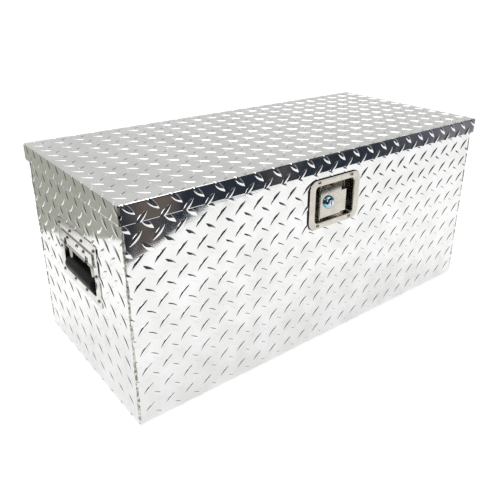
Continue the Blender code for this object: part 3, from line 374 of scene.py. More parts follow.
def choose(piece, kind, test):
    """Opens the piece in edit mode with only the vertices, edges or faces that pass the test picked."""
    pick(piece)
    bpy.ops.object.mode_set(mode="EDIT")
    bpy.ops.mesh.select_mode(type=kind)
    bpy.ops.mesh.select_all(action="DESELECT")
    bpy.ops.object.mode_set(mode="OBJECT")
    mesh = piece.data
    for item in {"VERT": mesh.vertices, "EDGE": mesh.edges, "FACE": mesh.polygons}[kind]:
        item.select = test(item)
    bpy.ops.object.mode_set(mode="EDIT")


def leave():
    bpy.ops.object.mode_set(mode="OBJECT")


def everything(item):
    return True


def add_plane(name, size, place=(0, 0, 0)):
    """A flat rectangle of this size, with its middle at place."""
    bpy.ops.object.select_all(action="DESELECT")
    bpy.ops.mesh.primitive_plane_add(size=1, location=place)
    plane = name_piece(name)
    plane.scale = (*size, 1)
    settle(plane)
    return plane


def add_block(name, size, place):
    """A block of this size, with its middle at place."""
    bpy.ops.object.select_all(action="DESELECT")
    bpy.ops.mesh.primitive_cube_add(size=1, location=place)
    block = name_piece(name)
    block.scale = size
    settle(block)
    return block


def bisect(piece, point, normal, clear=False):
    """Cuts the piece along a plane. With clear, what is beyond it goes and the cut is filled."""
    choose(piece, "VERT", everything)
    bpy.ops.mesh.bisect(plane_co=point, plane_no=normal, use_fill=clear, clear_outer=clear)
    leave()


def apply_modifier(piece, kind, **settings):
    bpy.context.view_layer.objects.active = piece
    modifier = piece.modifiers.new(kind.lower(), kind)
    for setting, value in settings.items():
        setattr(modifier, setting, value)
    bpy.ops.object.modifier_apply(modifier=modifier.name)


def thicken(piece, thickness):
    """Gives a sheet its thickness inwards. The inner face takes the second finish, plain and dull."""
    piece.data.materials.append(rolled_plate)
    piece.data.materials.append(mill_aluminium)
    settings = {"offset": -1, "use_even_offset": True, "material_offset": 1}
    apply_modifier(piece, "SOLIDIFY", thickness=thickness, **settings)


def break_edges(piece, width):
    """Rounds every sharp edge a little, as cut sheet has after it is deburred."""
    sharp = math.radians(60)
    apply_modifier(piece, "BEVEL", width=width, segments=2, limit_method="ANGLE", angle_limit=sharp)


def cut_away(piece, cutter):
    """Cuts the cutter's shape out of the piece and removes the cutter."""
    apply_modifier(piece, "BOOLEAN", operation="DIFFERENCE", object=cutter, solver="EXACT")
    bpy.data.objects.remove(cutter)


def join(piece, *others):
    bpy.ops.object.select_all(action="DESELECT")
    for other in (piece, *others):
        other.select_set(True)
    bpy.context.view_layer.objects.active = piece
    bpy.ops.object.join()
    return piece


def smooth(piece, angle=35):
    pick(piece)
    bpy.ops.object.shade_smooth_by_angle(angle=math.radians(angle))


def tidy_normals(piece):
    """Merges doubled points and points every face outwards."""
    choose(piece, "VERT", everything)
    bpy.ops.mesh.remove_doubles(threshold=0.01 * MM)
    bpy.ops.mesh.normals_make_consistent(inside=False)
    leave()


def copy_piece(piece, name):
    """A copy with a mesh of its own."""
    twin = piece.copy()
    twin.data = piece.data.copy()
    twin.name = twin.data.name = name
    bpy.context.scene.collection.objects.link(twin)
    return twin


def place_piece(piece, body, slot, finish, *nodes, inside=None):
    """Gives the piece its finish, ties it to its body and hides the nodes that it stands for."""
    piece.data.materials.clear()
    piece.data.materials.append(finish)
    if inside:
        piece.data.materials.append(inside)
    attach(piece, body)
    if nodes:
        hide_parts(*nodes)
    print(piece.name, "has", len(piece.data.polygons), "faces")


# %% [markdown]
# ## Tread plate
#
# One lug is a low almond with pointed ends. The rolls print it in two sets, at right angles to each
# other and half a pitch apart. So one lug is modelled, arrays lay it out over a flat blank, the blank is
# trimmed, and blank and lugs are then folded together. That is how the real sheet is made, and it is why
# a lug runs on over a bend and stops dead at a cut edge. A bump pattern would be lighter, but a lug's own
# outline and glints show at the edges of the box. The inner side has no lugs and a dull mill finish.

# %% One lug
LUG_LENGTH = 29 * MM
LUG_WIDTH = 8.4 * MM
LUG_HEIGHT = 1.05 * MM
LUG_SINK = 0.15 * MM
bpy.ops.object.select_all(action="DESELECT")
bpy.ops.mesh.primitive_grid_add(x_subdivisions=8, y_subdivisions=6, size=2)
lug = name_piece("lug")
ACROSS = {0: 0, 1: 0.50, 2: 0.78, 3: 1}
CROWN = {0: 1, 1: 0.93, 2: 0.72, 3: 0}
for vertex in lug.data.vertices:
    along, strip = vertex.co.x, round(abs(vertex.co.y) * 3)
    across = math.copysign(ACROSS[strip], vertex.co.y)
    half_width = LUG_WIDTH / 2 * (1 - abs(along) ** 1.8)
    crown = CROWN[strip] * (1 - abs(along) ** 2.5)
    height = (LUG_HEIGHT + LUG_SINK) * crown - LUG_SINK
    vertex.co = (along * LUG_LENGTH / 2, across * half_width, height)
choose(lug, "VERT", everything)
bpy.ops.mesh.remove_doubles(threshold=0.01 * MM)
bpy.ops.mesh.select_all(action="DESELECT")
bpy.ops.mesh.select_non_manifold()
bpy.ops.mesh.edge_face_add()
leave()
LUG_POINTS = len(lug.data.vertices)
print("one lug has", LUG_POINTS, "points and", len(lug.data.polygons), "faces")

# %% Laying out the lugs on a flat blank


def lay_set(name, turn, first, pitch, low, high):
    """Lugs turned by turn degrees all over the blank from low to high. first is the place of any one."""
    rows = copy_piece(lug, name)
    start, counts = [], []
    for axis in (0, 1):
        before = math.ceil((first[axis] - low[axis] + LUG_LENGTH / 2) / pitch[axis])
        start.append(first[axis] - before * pitch[axis])
        counts.append(math.ceil((high[axis] + LUG_LENGTH / 2 - start[axis]) / pitch[axis]) + 1)
    rows.data.transform(Matrix.Translation((*start, 0)) @ Matrix.Rotation(math.radians(turn), 4, "Z"))
    for axis, direction in ((0, Vector((1, 0, 0))), (1, Vector((0, 1, 0)))):
        apply_modifier(
            rows,
            "ARRAY",
            count=counts[axis],
            use_relative_offset=False,
            use_constant_offset=True,
            constant_offset_displace=direction * pitch[axis],
        )
    return rows


def drop_lugs(rows, places):
    """Removes each lug whose middle is inside one of these (low, high) rectangles."""
    points = np.empty(len(rows.data.vertices) * 3)
    rows.data.vertices.foreach_get("co", points)
    middles = points.reshape(-1, LUG_POINTS, 3).mean(1)
    inside = set()
    for low, high in places:
        hit = ((middles[:, :2] > low) & (middles[:, :2] < high)).all(1)
        inside |= set(np.nonzero(hit)[0])
    if inside:
        choose(rows, "FACE", lambda face: face.vertices[0] // LUG_POINTS in inside)
        bpy.ops.mesh.delete(type="FACE")
        leave()


def lay_lugs(name, slash, backslash, pitch, low, high, bare=()):
    """Both sets of lugs over a blank, less those in the bare places, cut off at the blank's edges."""
    rows = [
        lay_set(f"{name} {turn}", turn, first, pitch, low, high)
        for turn, first in ((45, slash), (-45, backslash))
    ]
    for some in rows:
        drop_lugs(some, bare)
    lugs = join(*rows)
    for axis in (0, 1):
        for edge, way in ((low, -1), (high, 1)):
            point, normal = Vector((0, 0, 0)), Vector((0, 0, 0))
            point[axis], normal[axis] = edge[axis], way
            bisect(lugs, point, normal, clear=True)
    return lugs


# %% [markdown]
# A fold is described by its stations: how far along the blank each is, where it ends up, and which way
# the plate's face points there. Between the stations everything is read off in straight lines. Blanks lie
# flat with their outer face up, so a point's height above the blank becomes its height above the face.

# %% Folding
BEND_STEPS = 8


def fold_stations(corners, radius):
    """(run, across, up, normal across, normal up) along a sheet's outer face, bent at right angles."""
    corners = [Vector(corner) for corner in corners]
    stations, run, here = [], 0, corners[0]
    for place, corner in enumerate(corners[1:], 1):
        last = place == len(corners) - 1
        heading = (corner - here).normalized()
        facing = Vector((-heading.y, heading.x))
        end = corner if last else corner - heading * radius
        stations += [(run, *here, *facing), (run + (end - here).length, *end, *facing)]
        run = stations[-1][0]
        if last:
            break
        centre = end - facing * radius
        for step in range(1, BEND_STEPS + 1):
            angle = math.radians(90) * step / BEND_STEPS
            facing_now = facing * math.cos(angle) + heading * math.sin(angle)
            here = centre + facing_now * radius
            stations.append((run + radius * angle, *here, *facing_now))
        run = stations[-1][0]
    return np.array(stations)


def fold(piece, stations, run_axis, side=1):
    """Folds a flat blank. The run goes along run_axis, and side -1 counts it towards -X."""
    points = np.empty(len(piece.data.vertices) * 3)
    piece.data.vertices.foreach_get("co", points)
    points = points.reshape(-1, 3)
    run, height = points[:, run_axis] * side, points[:, 2]
    places = [np.interp(run, stations[:, 0], stations[:, column]) for column in range(1, 5)]
    across, up, facing_across, facing_up = places
    across = (across + facing_across * height) * side
    up = up + facing_up * height
    other = points[:, 1 - run_axis]
    folded = np.stack((other, across, up) if run_axis == 1 else (across, other, up), 1)
    piece.data.vertices.foreach_set("co", folded.ravel())
    piece.data.update()


def cut_blank(name, low, high, lines, windows=()):
    """A flat blank, creased along the lines (axis, place), with the windows cut out."""
    middle = [(low[axis] + high[axis]) / 2 for axis in (0, 1)]
    blank = add_plane(name, (high[0] - low[0], high[1] - low[1]), (*middle, 0))
    creases = list(lines)
    for axis in (0, 1):
        creases += [(axis, low[axis] + MM), (axis, high[axis] - MM)]
    for first, last in windows:
        for axis in (0, 1):
            creases += [(axis, first[axis] + way * MM) for way in (-1, 0)]
            creases += [(axis, last[axis] + way * MM) for way in (0, 1)]
    for axis, place in creases:
        if low[axis] < place < high[axis]:
            point, normal = Vector((0, 0, 0)), Vector((0, 0, 0))
            point[axis], normal[axis] = place, 1
            bisect(blank, point, normal)

    def in_window(face):
        x, y, _ = face.center
        return any(first[0] < x < last[0] and first[1] < y < last[1] for first, last in windows)

    choose(blank, "FACE", in_window)
    bpy.ops.mesh.delete(type="FACE")
    leave()
    return blank


def creases_of(stations, axis, side=1):
    """A crease at each station and a millimetre each side of every bend, to keep the flats flat."""
    runs = stations[:, 0]
    beside = [run + way * MM for run in runs for way in (-1, 1)]
    clear = [run for run in beside if np.abs(runs - run).min() > 0.6 * MM]
    return [(axis, side * run) for run in sorted({*runs.tolist(), *clear})]


# %% [markdown]
# ### Chest wrap
#
# Front, floor and back are one sheet. The blank's run starts at the back lip and ends at the front lip.
# Its measures come from the frame: the wrap's own box, the latch's flange and the hinge leaf.

# %% Wrap blank and fold
SHEET = 1.5 * MM
BEND_RADIUS = 3 * MM
LIP = 9 * MM
EDGE_BREAK = 0.6 * MM
wrap_low, wrap_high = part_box("body_wrap")
WRAP_FOLD = fold_stations(
    [
        (wrap_high.y - LIP, wrap_high.z),
        (wrap_high.y, wrap_high.z),
        (wrap_high.y, 0),
        (wrap_low.y, 0),
        (wrap_low.y, wrap_high.z),
        (wrap_low.y + LIP, wrap_high.z),
    ],
    BEND_RADIUS,
)
WRAP_RUN = WRAP_FOLD[-1, 0]


def front_run(height):
    """Where along the wrap's blank a height on the front wall is."""
    return WRAP_RUN - LIP - (wrap_high.z - height) - (math.pi / 2 - 2) * BEND_RADIUS


def back_run(height):
    return LIP + (wrap_high.z - height) + (math.pi / 2 - 2) * BEND_RADIUS


pan_low, pan_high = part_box("latch_pan")
leaf_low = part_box("hinge_leaf_body")[0]
UNDER_FLANGE = 4 * MM
WINDOW_EDGE = 11 * MM
LATCH_WINDOW_EDGE = 0.8 * WINDOW_EDGE
latch_window = (
    (pan_low.x + WINDOW_EDGE, front_run(pan_low.z + LATCH_WINDOW_EDGE)),
    (pan_high.x - WINDOW_EDGE, front_run(pan_high.z - LATCH_WINDOW_EDGE)),
)
under_latch = (
    (pan_low.x + UNDER_FLANGE, front_run(pan_low.z + UNDER_FLANGE)),
    (pan_high.x - UNDER_FLANGE, front_run(pan_high.z - UNDER_FLANGE)),
)
under_hinge = ((wrap_low.x - LIP, 0), (wrap_high.x + LIP, back_run(leaf_low.z - UNDER_FLANGE)))
front_lip = ((wrap_low.x - LIP, front_run(wrap_high.z - MM)), (wrap_high.x + LIP, WRAP_RUN + LIP))
wrap_corners = ((wrap_low.x, 0), (wrap_high.x, WRAP_RUN))
body_wrap = cut_blank("tread_wrap", *wrap_corners, creases_of(WRAP_FOLD, 1), [latch_window])
fold(body_wrap, WRAP_FOLD, 1)
thicken(body_wrap, SHEET)
break_edges(body_wrap, EDGE_BREAK)
print("the wrap's blank is", round(WRAP_RUN / MM), "mm long")

# %% Wrap lugs
WRAP_PITCH = (33 * MM, 34.2 * MM)
wrap_lugs = lay_lugs(
    "wrap lugs",
    (-363 * MM, front_run(295.5 * MM)),
    (-346.5 * MM, front_run(278.4 * MM)),
    WRAP_PITCH,
    *wrap_corners,
    [under_latch, under_hinge, front_lip],
)
fold(wrap_lugs, WRAP_FOLD, 1)
join(body_wrap, wrap_lugs)
smooth(body_wrap)
place_piece(body_wrap, "chest", "tread_plate", rolled_plate, "body_wrap", inside=mill_aluminium)

# %% [markdown]
# ### End panels
#
# Each end is a sheet of its own with a lip at the top, set between the wrap's walls. The run starts at
# the lip and goes down. The two ends are mirror images in their window and lip, and the left one is
# folded towards -X.

# %% End panels
END_PITCH = (34.4 * MM, 33 * MM)


def make_end(end, side):
    low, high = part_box(f"end_panel_{end}")
    outer = max(abs(low.x), abs(high.x))
    stations = fold_stations([(outer - LIP, high.z), (outer, high.z), (outer, low.z)], BEND_RADIUS)
    length = stations[-1, 0]

    def run(height):
        return side * (length - (height - low.z))

    def span(first, last):
        """A rectangle of the blank from two corners in any order."""
        return tuple(map(min, first, last)), tuple(map(max, first, last))

    def behind_dish(inset):
        low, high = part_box(f"handle_dish_{end}")
        return span((run(low.z + inset), low.y + inset), (run(high.z - inset), high.y - inset))

    lip_end = side * (LIP + BEND_RADIUS / 2)
    notches = [
        span((-side * MM, way * (high.y - LIP + SHEET)), (lip_end, way * (high.y + MM)))
        for way in (-1, 1)
    ]
    corners = span((0, low.y), (side * length, high.y))
    windows = [behind_dish(WINDOW_EDGE), *notches]
    panel = cut_blank(f"tread_end_{end}", *corners, creases_of(stations, 0, side), windows)
    lugs = lay_lugs(
        f"end lugs {end}",
        (run(29 * MM), -149 * MM),
        (run(46.2 * MM), -132.5 * MM),
        END_PITCH,
        *corners,
        [behind_dish(UNDER_FLANGE), span((-side * MM, -1), (lip_end, 1))],
    )
    fold(panel, stations, 0, side)
    fold(lugs, stations, 0, side)
    thicken(panel, SHEET)
    break_edges(panel, EDGE_BREAK)
    join(panel, lugs)
    smooth(panel)
    place_piece(panel, "chest", "tread_plate", rolled_plate, f"end_panel_{end}", inside=mill_aluminium)


make_end("left", -1)
make_end("right", 1)

# %% [markdown]
# ### Lid
#
# The lid is one blank in the shape of a cross. Its middle strip folds down at the front and back, and a
# flap at each end folds down over the end. All of it shares one pattern of lugs, so the pattern is laid
# out once for each part with the same starting lug, and runs on over every fold. The front flange flares
# out a little towards its lower edge. That is how such a flange springs back from the press, and it makes
# the flange mirror the dark room while the wall under it mirrors the floor.

# %% Lid
LID_RADIUS = 2 * MM
LID_PITCH = (34.1 * MM, 32.9 * MM)
SEAM = 0.5 * MM
FLARE = math.tan(math.radians(2))
lid_low, lid_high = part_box("lid_sheet")
lid_fold = fold_stations(
    [
        (lid_low.y, lid_low.z),
        (lid_low.y, lid_high.z),
        (lid_high.y, lid_high.z),
        (lid_high.y, lid_low.z),
    ],
    LID_RADIUS,
)
front_edge_run = (lid_high.z - lid_low.z) + (math.pi / 2 - 2) * LID_RADIUS


def lid_run(across):
    """Where along the middle strip's blank a place on the lid's top is."""
    return front_edge_run + across - lid_low.y


strip_corners = ((lid_low.x + LID_RADIUS, 0), (lid_high.x - LID_RADIUS, lid_fold[-1, 0]))
LID_SLASH = (-322.4 * MM, -197.5 * MM)
LID_BACKSLASH = (-339.5 * MM, -181 * MM)
under_lid_leaf = (
    (lid_low.x, lid_run(lid_high.y) - LID_RADIUS + LIP),
    (lid_high.x, lid_fold[-1, 0] + LIP),
)
lid_skin = cut_blank("tread_lid", *strip_corners, creases_of(lid_fold, 1))
lid_lugs = lay_lugs(
    "lid lugs",
    (LID_SLASH[0], lid_run(LID_SLASH[1])),
    (LID_BACKSLASH[0], lid_run(LID_BACKSLASH[1])),
    LID_PITCH,
    *strip_corners,
    [under_lid_leaf],
)
fold(lid_skin, lid_fold, 1)
fold(lid_lugs, lid_fold, 1)
for piece in (lid_skin, lid_lugs):
    for vertex in piece.data.vertices:
        if vertex.co.y < lid_low.y + LID_RADIUS:
            vertex.co.y -= FLARE * max(0, lid_high.z - LID_RADIUS - vertex.co.z)

flap_start = lid_high.x - LID_RADIUS - MM
flap_fold = fold_stations(
    [(flap_start, lid_high.z), (lid_high.x, lid_high.z), (lid_high.x, lid_low.z)], LID_RADIUS
)
flaps = []
for side in (-1, 1):
    first = side * MM
    last = side * flap_fold[-1, 0]
    corners = (
        (min(first, last), lid_low.y + LID_RADIUS + SEAM),
        (max(first, last), lid_high.y - LID_RADIUS - SEAM),
    )
    flap = cut_blank(f"lid flap {side}", *corners, creases_of(flap_fold, 0, side))
    shift = side * flap_start
    flap_lugs = lay_lugs(
        f"flap lugs {side}",
        (LID_SLASH[0] - shift, LID_SLASH[1]),
        (LID_BACKSLASH[0] - shift, LID_BACKSLASH[1]),
        LID_PITCH,
        *corners,
    )
    fold(flap, flap_fold, 0, side)
    fold(flap_lugs, flap_fold, 0, side)
    flaps += [flap, flap_lugs]
join(lid_skin, flaps[0], flaps[2])
thicken(lid_skin, SHEET)
break_edges(lid_skin, EDGE_BREAK)
join(lid_skin, lid_lugs, flaps[1], flaps[3])
smooth(lid_skin)
place_piece(lid_skin, "lid", "tread_plate", rolled_plate, "lid_sheet", inside=mill_aluminium)

bpy.data.objects.remove(lug)

# %% [markdown]
# ### Weld beads
#
# A bead closes each upright corner of the chest, and a short one each corner of the lid. A bead starts as
# a thin cylinder cut into many rings, and noise swells and pinches the rings into ripples.

# %% Weld beads
RING_HEIGHT = 1.6 * MM
RIPPLE = 0.55 * MM


def make_bead(name, place, low, high, radius):
    bpy.ops.object.select_all(action="DESELECT")
    bpy.ops.mesh.primitive_cylinder_add(
        vertices=10, radius=radius, depth=high - low, location=(*place, (low + high) / 2)
    )
    bead = name_piece(name)
    settle(bead)
    points = bead.data.vertices

    def upright(edge):
        first, last = (points[index].co.z for index in edge.vertices)
        return abs(first - last) > RING_HEIGHT

    choose(bead, "EDGE", upright)
    bpy.ops.mesh.subdivide(number_cuts=int((high - low) / RING_HEIGHT))
    leave()
    for vertex in bead.data.vertices:
        out = Vector((vertex.co.x - place[0], vertex.co.y - place[1], 0))
        swell = 0.28 * noise.noise(vertex.co * 260) + 0.16 * math.sin(vertex.co.z / RIPPLE)
        vertex.co += out * swell
    smooth(bead, 80)
    return bead


for way_x, end in ((-1, "left"), (1, "right")):
    for way_y, face in ((-1, "front"), (1, "back")):
        corner = (way_x * (wrap_high.x - 0.9 * MM), way_y * (wrap_high.y - 1.0 * MM))
        ends = (3 * MM, wrap_high.z - 3 * MM)
        bead = make_bead(f"chest_weld_{face}_{end}", corner, *ends, 1.9 * MM)
        place_piece(bead, "chest", "tread_plate", weld_metal)
        corner = (way_x * (lid_high.x - 1.5 * MM), way_y * (lid_high.y - 1.5 * MM))
        ends = (lid_low.z + 0.5 * MM, lid_high.z - 2.2 * MM)
        bead = make_bead(f"lid_weld_{face}_{end}", corner, *ends, 1.7 * MM)
        # The lid's beads carry painted near-black shade of the gap between the flaps.
        place_piece(bead, "lid", "tread_plate", weld_with_painted_gap_shade)

# %% [markdown]
# ## Pressed fittings
#
# A pressed tray starts as two flat outlines with rounded corners, the flange's and the mouth's, bridged
# into one flat sheet. Insetting the flange would do too, but its corners would fold over one another. The
# mouth is pushed in, and the edges where the sheet was drawn over the die are bevelled round. Then the
# sheet gets its thickness. It is made lying flat and looking up, and is stood against its wall last.

# %% Press a tray
HAIR = 0.05 * MM


def near(value, target):
    return abs(value - target) < HAIR


def rounded_plate(name, size, corner):
    plate = add_plane(name, size)
    choose(plate, "VERT", everything)
    bpy.ops.mesh.bevel(offset=corner, segments=8, affect="VERTICES")
    leave()
    return plate


def face_up(sheet_piece):
    """Turns a flat-lying sheet's faces to look up, whichever way they came out."""
    choose(sheet_piece, "FACE", everything)
    bpy.ops.mesh.normals_make_consistent(inside=False)
    leave()
    if sum(face.normal.z * face.area for face in sheet_piece.data.polygons) < 0:
        choose(sheet_piece, "FACE", everything)
        bpy.ops.mesh.flip_normals()
        leave()


def press_tray(name, flange, corner, mouth, mouth_corner, depth, draw, sheet, drop=0):
    tray = rounded_plate(name, flange, corner)
    opening = rounded_plate("opening", mouth, mouth_corner)
    opening.data.transform(Matrix.Translation((0, -drop, 0)))
    join(tray, opening)
    choose(tray, "FACE", everything)
    bpy.ops.mesh.delete(type="ONLY_FACE")
    bpy.ops.mesh.select_mode(type="EDGE")
    bpy.ops.mesh.select_all(action="SELECT")
    bpy.ops.mesh.bridge_edge_loops()
    leave()
    points = tray.data.vertices

    def in_mouth(point):
        wide, high = mouth[0] / 2 + HAIR, mouth[1] / 2 + HAIR
        return abs(point.x) < wide and abs(point.y + drop) < high

    choose(tray, "EDGE", lambda edge: all(in_mouth(points[index].co) for index in edge.vertices))
    bpy.ops.mesh.edge_face_add()
    leave()
    face_up(tray)
    choose(tray, "FACE", lambda face: len(face.vertices) > 4)
    bpy.ops.mesh.extrude_region_move(TRANSFORM_OT_translate={"value": (0, 0, -depth)})
    leave()
    points = tray.data.vertices

    def on_rim(edge, height):
        ends = [points[index].co for index in edge.vertices]
        return all(near(end.z, height) and in_mouth(end) for end in ends)

    choose(tray, "EDGE", lambda edge: on_rim(edge, -depth))
    bpy.ops.mesh.bevel(offset=2 * draw, segments=5, affect="EDGES")
    leave()
    choose(tray, "EDGE", lambda edge: on_rim(edge, 0))
    bpy.ops.mesh.bevel(offset=draw, segments=5, affect="EDGES")
    leave()
    apply_modifier(tray, "SOLIDIFY", thickness=sheet, offset=-1, use_even_offset=True)
    return tray


def stand_up(piece, place, facing):
    """Turns a piece made looking up so that it looks along facing, its own +Y up, and moves it."""
    facing = Vector(facing)
    upright = Vector((0, 0, 1))
    turn = Matrix((upright.cross(facing), upright, facing)).transposed()
    piece.data.transform(Matrix.Translation(place) @ turn.to_4x4())
    return piece


# %% Latch pan
PRESSED_SHEET = 1.2 * MM
FLANGE = (pan_high.x - pan_low.x, pan_high.z - pan_low.z)
LATCH_MOUTH = (88 * MM, 62.5 * MM)
PAN_DEPTH = pan_high.y - pan_low.y - PRESSED_SHEET
latch_middle = Vector(((pan_low.x + pan_high.x) / 2, pan_low.y, (pan_low.z + pan_high.z) / 2))
FORWARD = (0, -1, 0)
pan = press_tray(
    "pressed_pan", FLANGE, 15 * MM, LATCH_MOUTH, 6 * MM, PAN_DEPTH, 1.6 * MM, PRESSED_SHEET
)
stand_up(pan, latch_middle, FORWARD)
pin_low, pin_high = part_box("paddle_pin")
PIN = (pin_low + pin_high) / 2
ARM_WIDTH = 4 * MM
paddle_swing = math.radians(JOINTS["paddle_pull"]["range_deg"][1])
arm_reach = (pan_high.y - PIN.y) * math.tan(paddle_swing) + ARM_WIDTH
slot_middle = (PIN.x + (arm_reach - ARM_WIDTH) / 2, pan_high.y, PIN.z)
cut_away(pan, add_block("slot cutter", (arm_reach + ARM_WIDTH, 8 * MM, 10 * MM), slot_middle))
smooth(pan)
place_piece(pan, "chest", "stainless", stainless, "latch_pan")

# %% [markdown]
# The gasket is punched a little larger than the flange, so a thin black line shows round it.

# %% Latch gasket
gasket_low, gasket_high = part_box("latch_gasket")
GASKET_SHOWS = 0.9 * MM
gasket_size = [side + 2 * GASKET_SHOWS for side in FLANGE]
gasket = rounded_plate("punched_gasket", gasket_size, 15.5 * MM)
choose(gasket, "FACE", everything)
bpy.ops.mesh.inset(thickness=9 * MM)
bpy.ops.mesh.delete(type="FACE")
leave()
apply_modifier(gasket, "SOLIDIFY", thickness=gasket_high.y - gasket_low.y, offset=-1)
stand_up(gasket, (latch_middle.x, gasket_low.y, latch_middle.z), FORWARD)
place_piece(gasket, "chest", "rubber", seal_rubber, "latch_gasket")

# %% [markdown]
# The paddle is a flat plate with its left, top and bottom edges turned back. Its free edge is left plain
# for the fingers, with a notch at the top for the rubber stop and a small step at the bottom.

# %% Paddle plate
paddle_low, paddle_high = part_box("paddle")
PADDLE_FACE = paddle_low.y
PADDLE_RIM = 10 * MM
NOTCH = (12 * MM, 11 * MM)
STEP = 3 * MM
paddle_left, paddle_right = PIN.x - 4.4 * MM, paddle_high.x
paddle = add_plane(
    "folded_paddle",
    (paddle_right - paddle_left, paddle_high.z - paddle_low.z),
    ((paddle_left + paddle_right) / 2, (paddle_low.z + paddle_high.z) / 2, 0),
)
notch_left = paddle_right - NOTCH[0]
bisect(paddle, (notch_left, 0, 0), (1, 0, 0))
bisect(paddle, (0, paddle_high.z - NOTCH[1], 0), (0, 1, 0))
bisect(paddle, (0, paddle_low.z + STEP, 0), (0, 1, 0))
choose(
    paddle,
    "FACE",
    lambda face: face.center.x > notch_left
    and not paddle_low.z + STEP < face.center.y < paddle_high.z - NOTCH[1],
)
bpy.ops.mesh.delete(type="FACE")
leave()


def on_fold(edge):
    ends = [paddle.data.vertices[index].co for index in edge.vertices]
    return any(
        all(near(end[axis], line) for end in ends)
        for axis, line in ((0, paddle_left), (1, paddle_low.z), (1, paddle_high.z))
    )


choose(paddle, "EDGE", on_fold)
bpy.ops.mesh.extrude_region_move(TRANSFORM_OT_translate={"value": (0, 0, -PADDLE_RIM)})
leave()


def on_face_or_corner(edge):
    ends = [paddle.data.vertices[index].co for index in edge.vertices]
    flat = all(near(end.z, 0) for end in ends) and on_fold(edge)
    upright = all(near(end.x, paddle_left) for end in ends) and abs(ends[0].z - ends[1].z) > MM
    at_corner = near(ends[0].y, paddle_low.z) or near(ends[0].y, paddle_high.z)
    return flat or (upright and at_corner)


choose(paddle, "EDGE", on_face_or_corner)
bpy.ops.mesh.bevel(offset=1.8 * MM, segments=4, affect="EDGES")
leave()
face_up(paddle)
apply_modifier(paddle, "SOLIDIFY", thickness=PRESSED_SHEET, offset=-1, use_even_offset=True)
stand_up(paddle, (0, PADDLE_FACE, 0), FORWARD)
print("paddle plate", len(paddle.data.polygons), "faces")

# %% Paddle knuckles and arm
KNUCKLE = 4.2 * MM
knuckle_spans = (
    (paddle_low.z + MM, PIN.z - 14 * MM),
    (PIN.z - 5 * MM, PIN.z + 5 * MM),
    (PIN.z + 14 * MM, paddle_high.z - MM),
)
for low, high in knuckle_spans:
    bpy.ops.object.select_all(action="DESELECT")
    bpy.ops.mesh.primitive_cylinder_add(
        vertices=24,
        radius=KNUCKLE - HAIR,
        depth=high - low,
        end_fill_type="NOTHING",
        location=(PIN.x, PIN.y, (low + high) / 2),
    )
    knuckle = name_piece("paddle knuckle")
    settle(knuckle)
    apply_modifier(knuckle, "SOLIDIFY", thickness=1.8 * MM, offset=-1)
    join(paddle, knuckle)
arm_front = PIN.y + 3 * MM
arm_size = (ARM_WIDTH, paddle_high.y - arm_front, 8 * MM)
arm = add_block("paddle arm", arm_size, (PIN.x, (arm_front + paddle_high.y) / 2, PIN.z))
apply_modifier(arm, "BEVEL", width=0.5 * MM, segments=2)
join(paddle, arm)
smooth(paddle)
place_piece(paddle, "paddle", "stainless", stainless, "paddle")

# %% [markdown]
# ### Turned parts
#
# The lock's bezel and plug, the rivets and the grips are all round, so each is a half profile spun about
# its axis. A profile lists only the points that the shape needs, from the top middle down.

# %% Spin a profile


def add_path(name, points):
    """A chain of edges from point to point."""
    mesh = bpy.data.meshes.new(name)
    mesh.from_pydata(points, [(i, i + 1) for i in range(len(points) - 1)], [])
    path = bpy.data.objects.new(name, mesh)
    bpy.context.scene.collection.objects.link(path)
    return path


def spin_profile(name, profile, steps=32):
    """A closed round solid from (radius, height) points, standing on Z."""
    turned = add_path(name, [(radius, 0, height) for radius, height in profile])
    choose(turned, "VERT", everything)
    bpy.ops.mesh.spin(steps=steps, angle=math.radians(360), center=(0, 0, 0), axis=(0, 0, 1))
    leave()
    tidy_normals(turned)
    return turned


def rounded(radius, height, across, down, steps=4):
    """Points down a quarter oval that ends at this radius and starts at this height."""
    turns = [math.radians(90) * step / steps for step in range(steps + 1)]
    return [
        (radius - across + across * math.sin(turn), height - down + down * math.cos(turn))
        for turn in turns
    ]


# %% Lock bezel
barrel_low, barrel_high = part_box("lock_barrel")
plug_low, plug_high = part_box("lock_plug")
BEZEL = (barrel_high.x - barrel_low.x) / 2
PLUG = (plug_high.x - plug_low.x) / 2
lock_middle = (barrel_low + barrel_high) / 2
lock_middle.y = PADDLE_FACE
BEZEL_RISE = PADDLE_FACE - barrel_low.y
barrel_back = PADDLE_FACE - barrel_high.y
BORE = PLUG + 0.3 * MM
BARREL = 8 * MM
BEZEL_EDGE = 1.2 * MM
bore_top = BEZEL_RISE - 1.5 * MM
bezel = spin_profile(
    "turned_bezel",
    [
        (BORE, bore_top),
        *rounded(BEZEL, BEZEL_RISE, BEZEL - BORE, BEZEL_RISE - BEZEL_EDGE, 10),
        (BEZEL, 0),
        (BARREL, 0),
        (BARREL, barrel_back),
        (BORE, barrel_back),
        (BORE, bore_top),
    ],
    56,
)
stand_up(bezel, lock_middle, FORWARD)
smooth(bezel, 50)
# The bezel's teal-blue colour is a painted reflection.
place_piece(bezel, "paddle", "chrome", chrome, "lock_barrel")

# %% Lock plug with its keyway
STEM = 3 * MM
plug_top = PADDLE_FACE - plug_low.y
plug_back = PADDLE_FACE - plug_high.y
plug = spin_profile(
    "turned_plug",
    [
        (0, plug_top),
        *rounded(PLUG, plug_top, 0.7 * MM, 0.7 * MM),
        (PLUG, barrel_back),
        (STEM, barrel_back),
        (STEM, plug_back),
        (0, plug_back),
    ],
    40,
)
KEYWAY = (1.9 * MM, 7.6 * MM, 14 * MM)
cut_away(plug, add_block("key cutter", KEYWAY, (0, 0, plug_top)))
stand_up(plug, lock_middle, FORWARD)
smooth(plug)
place_piece(plug, "lock_plug", "zinc", nickel, "lock_plug")

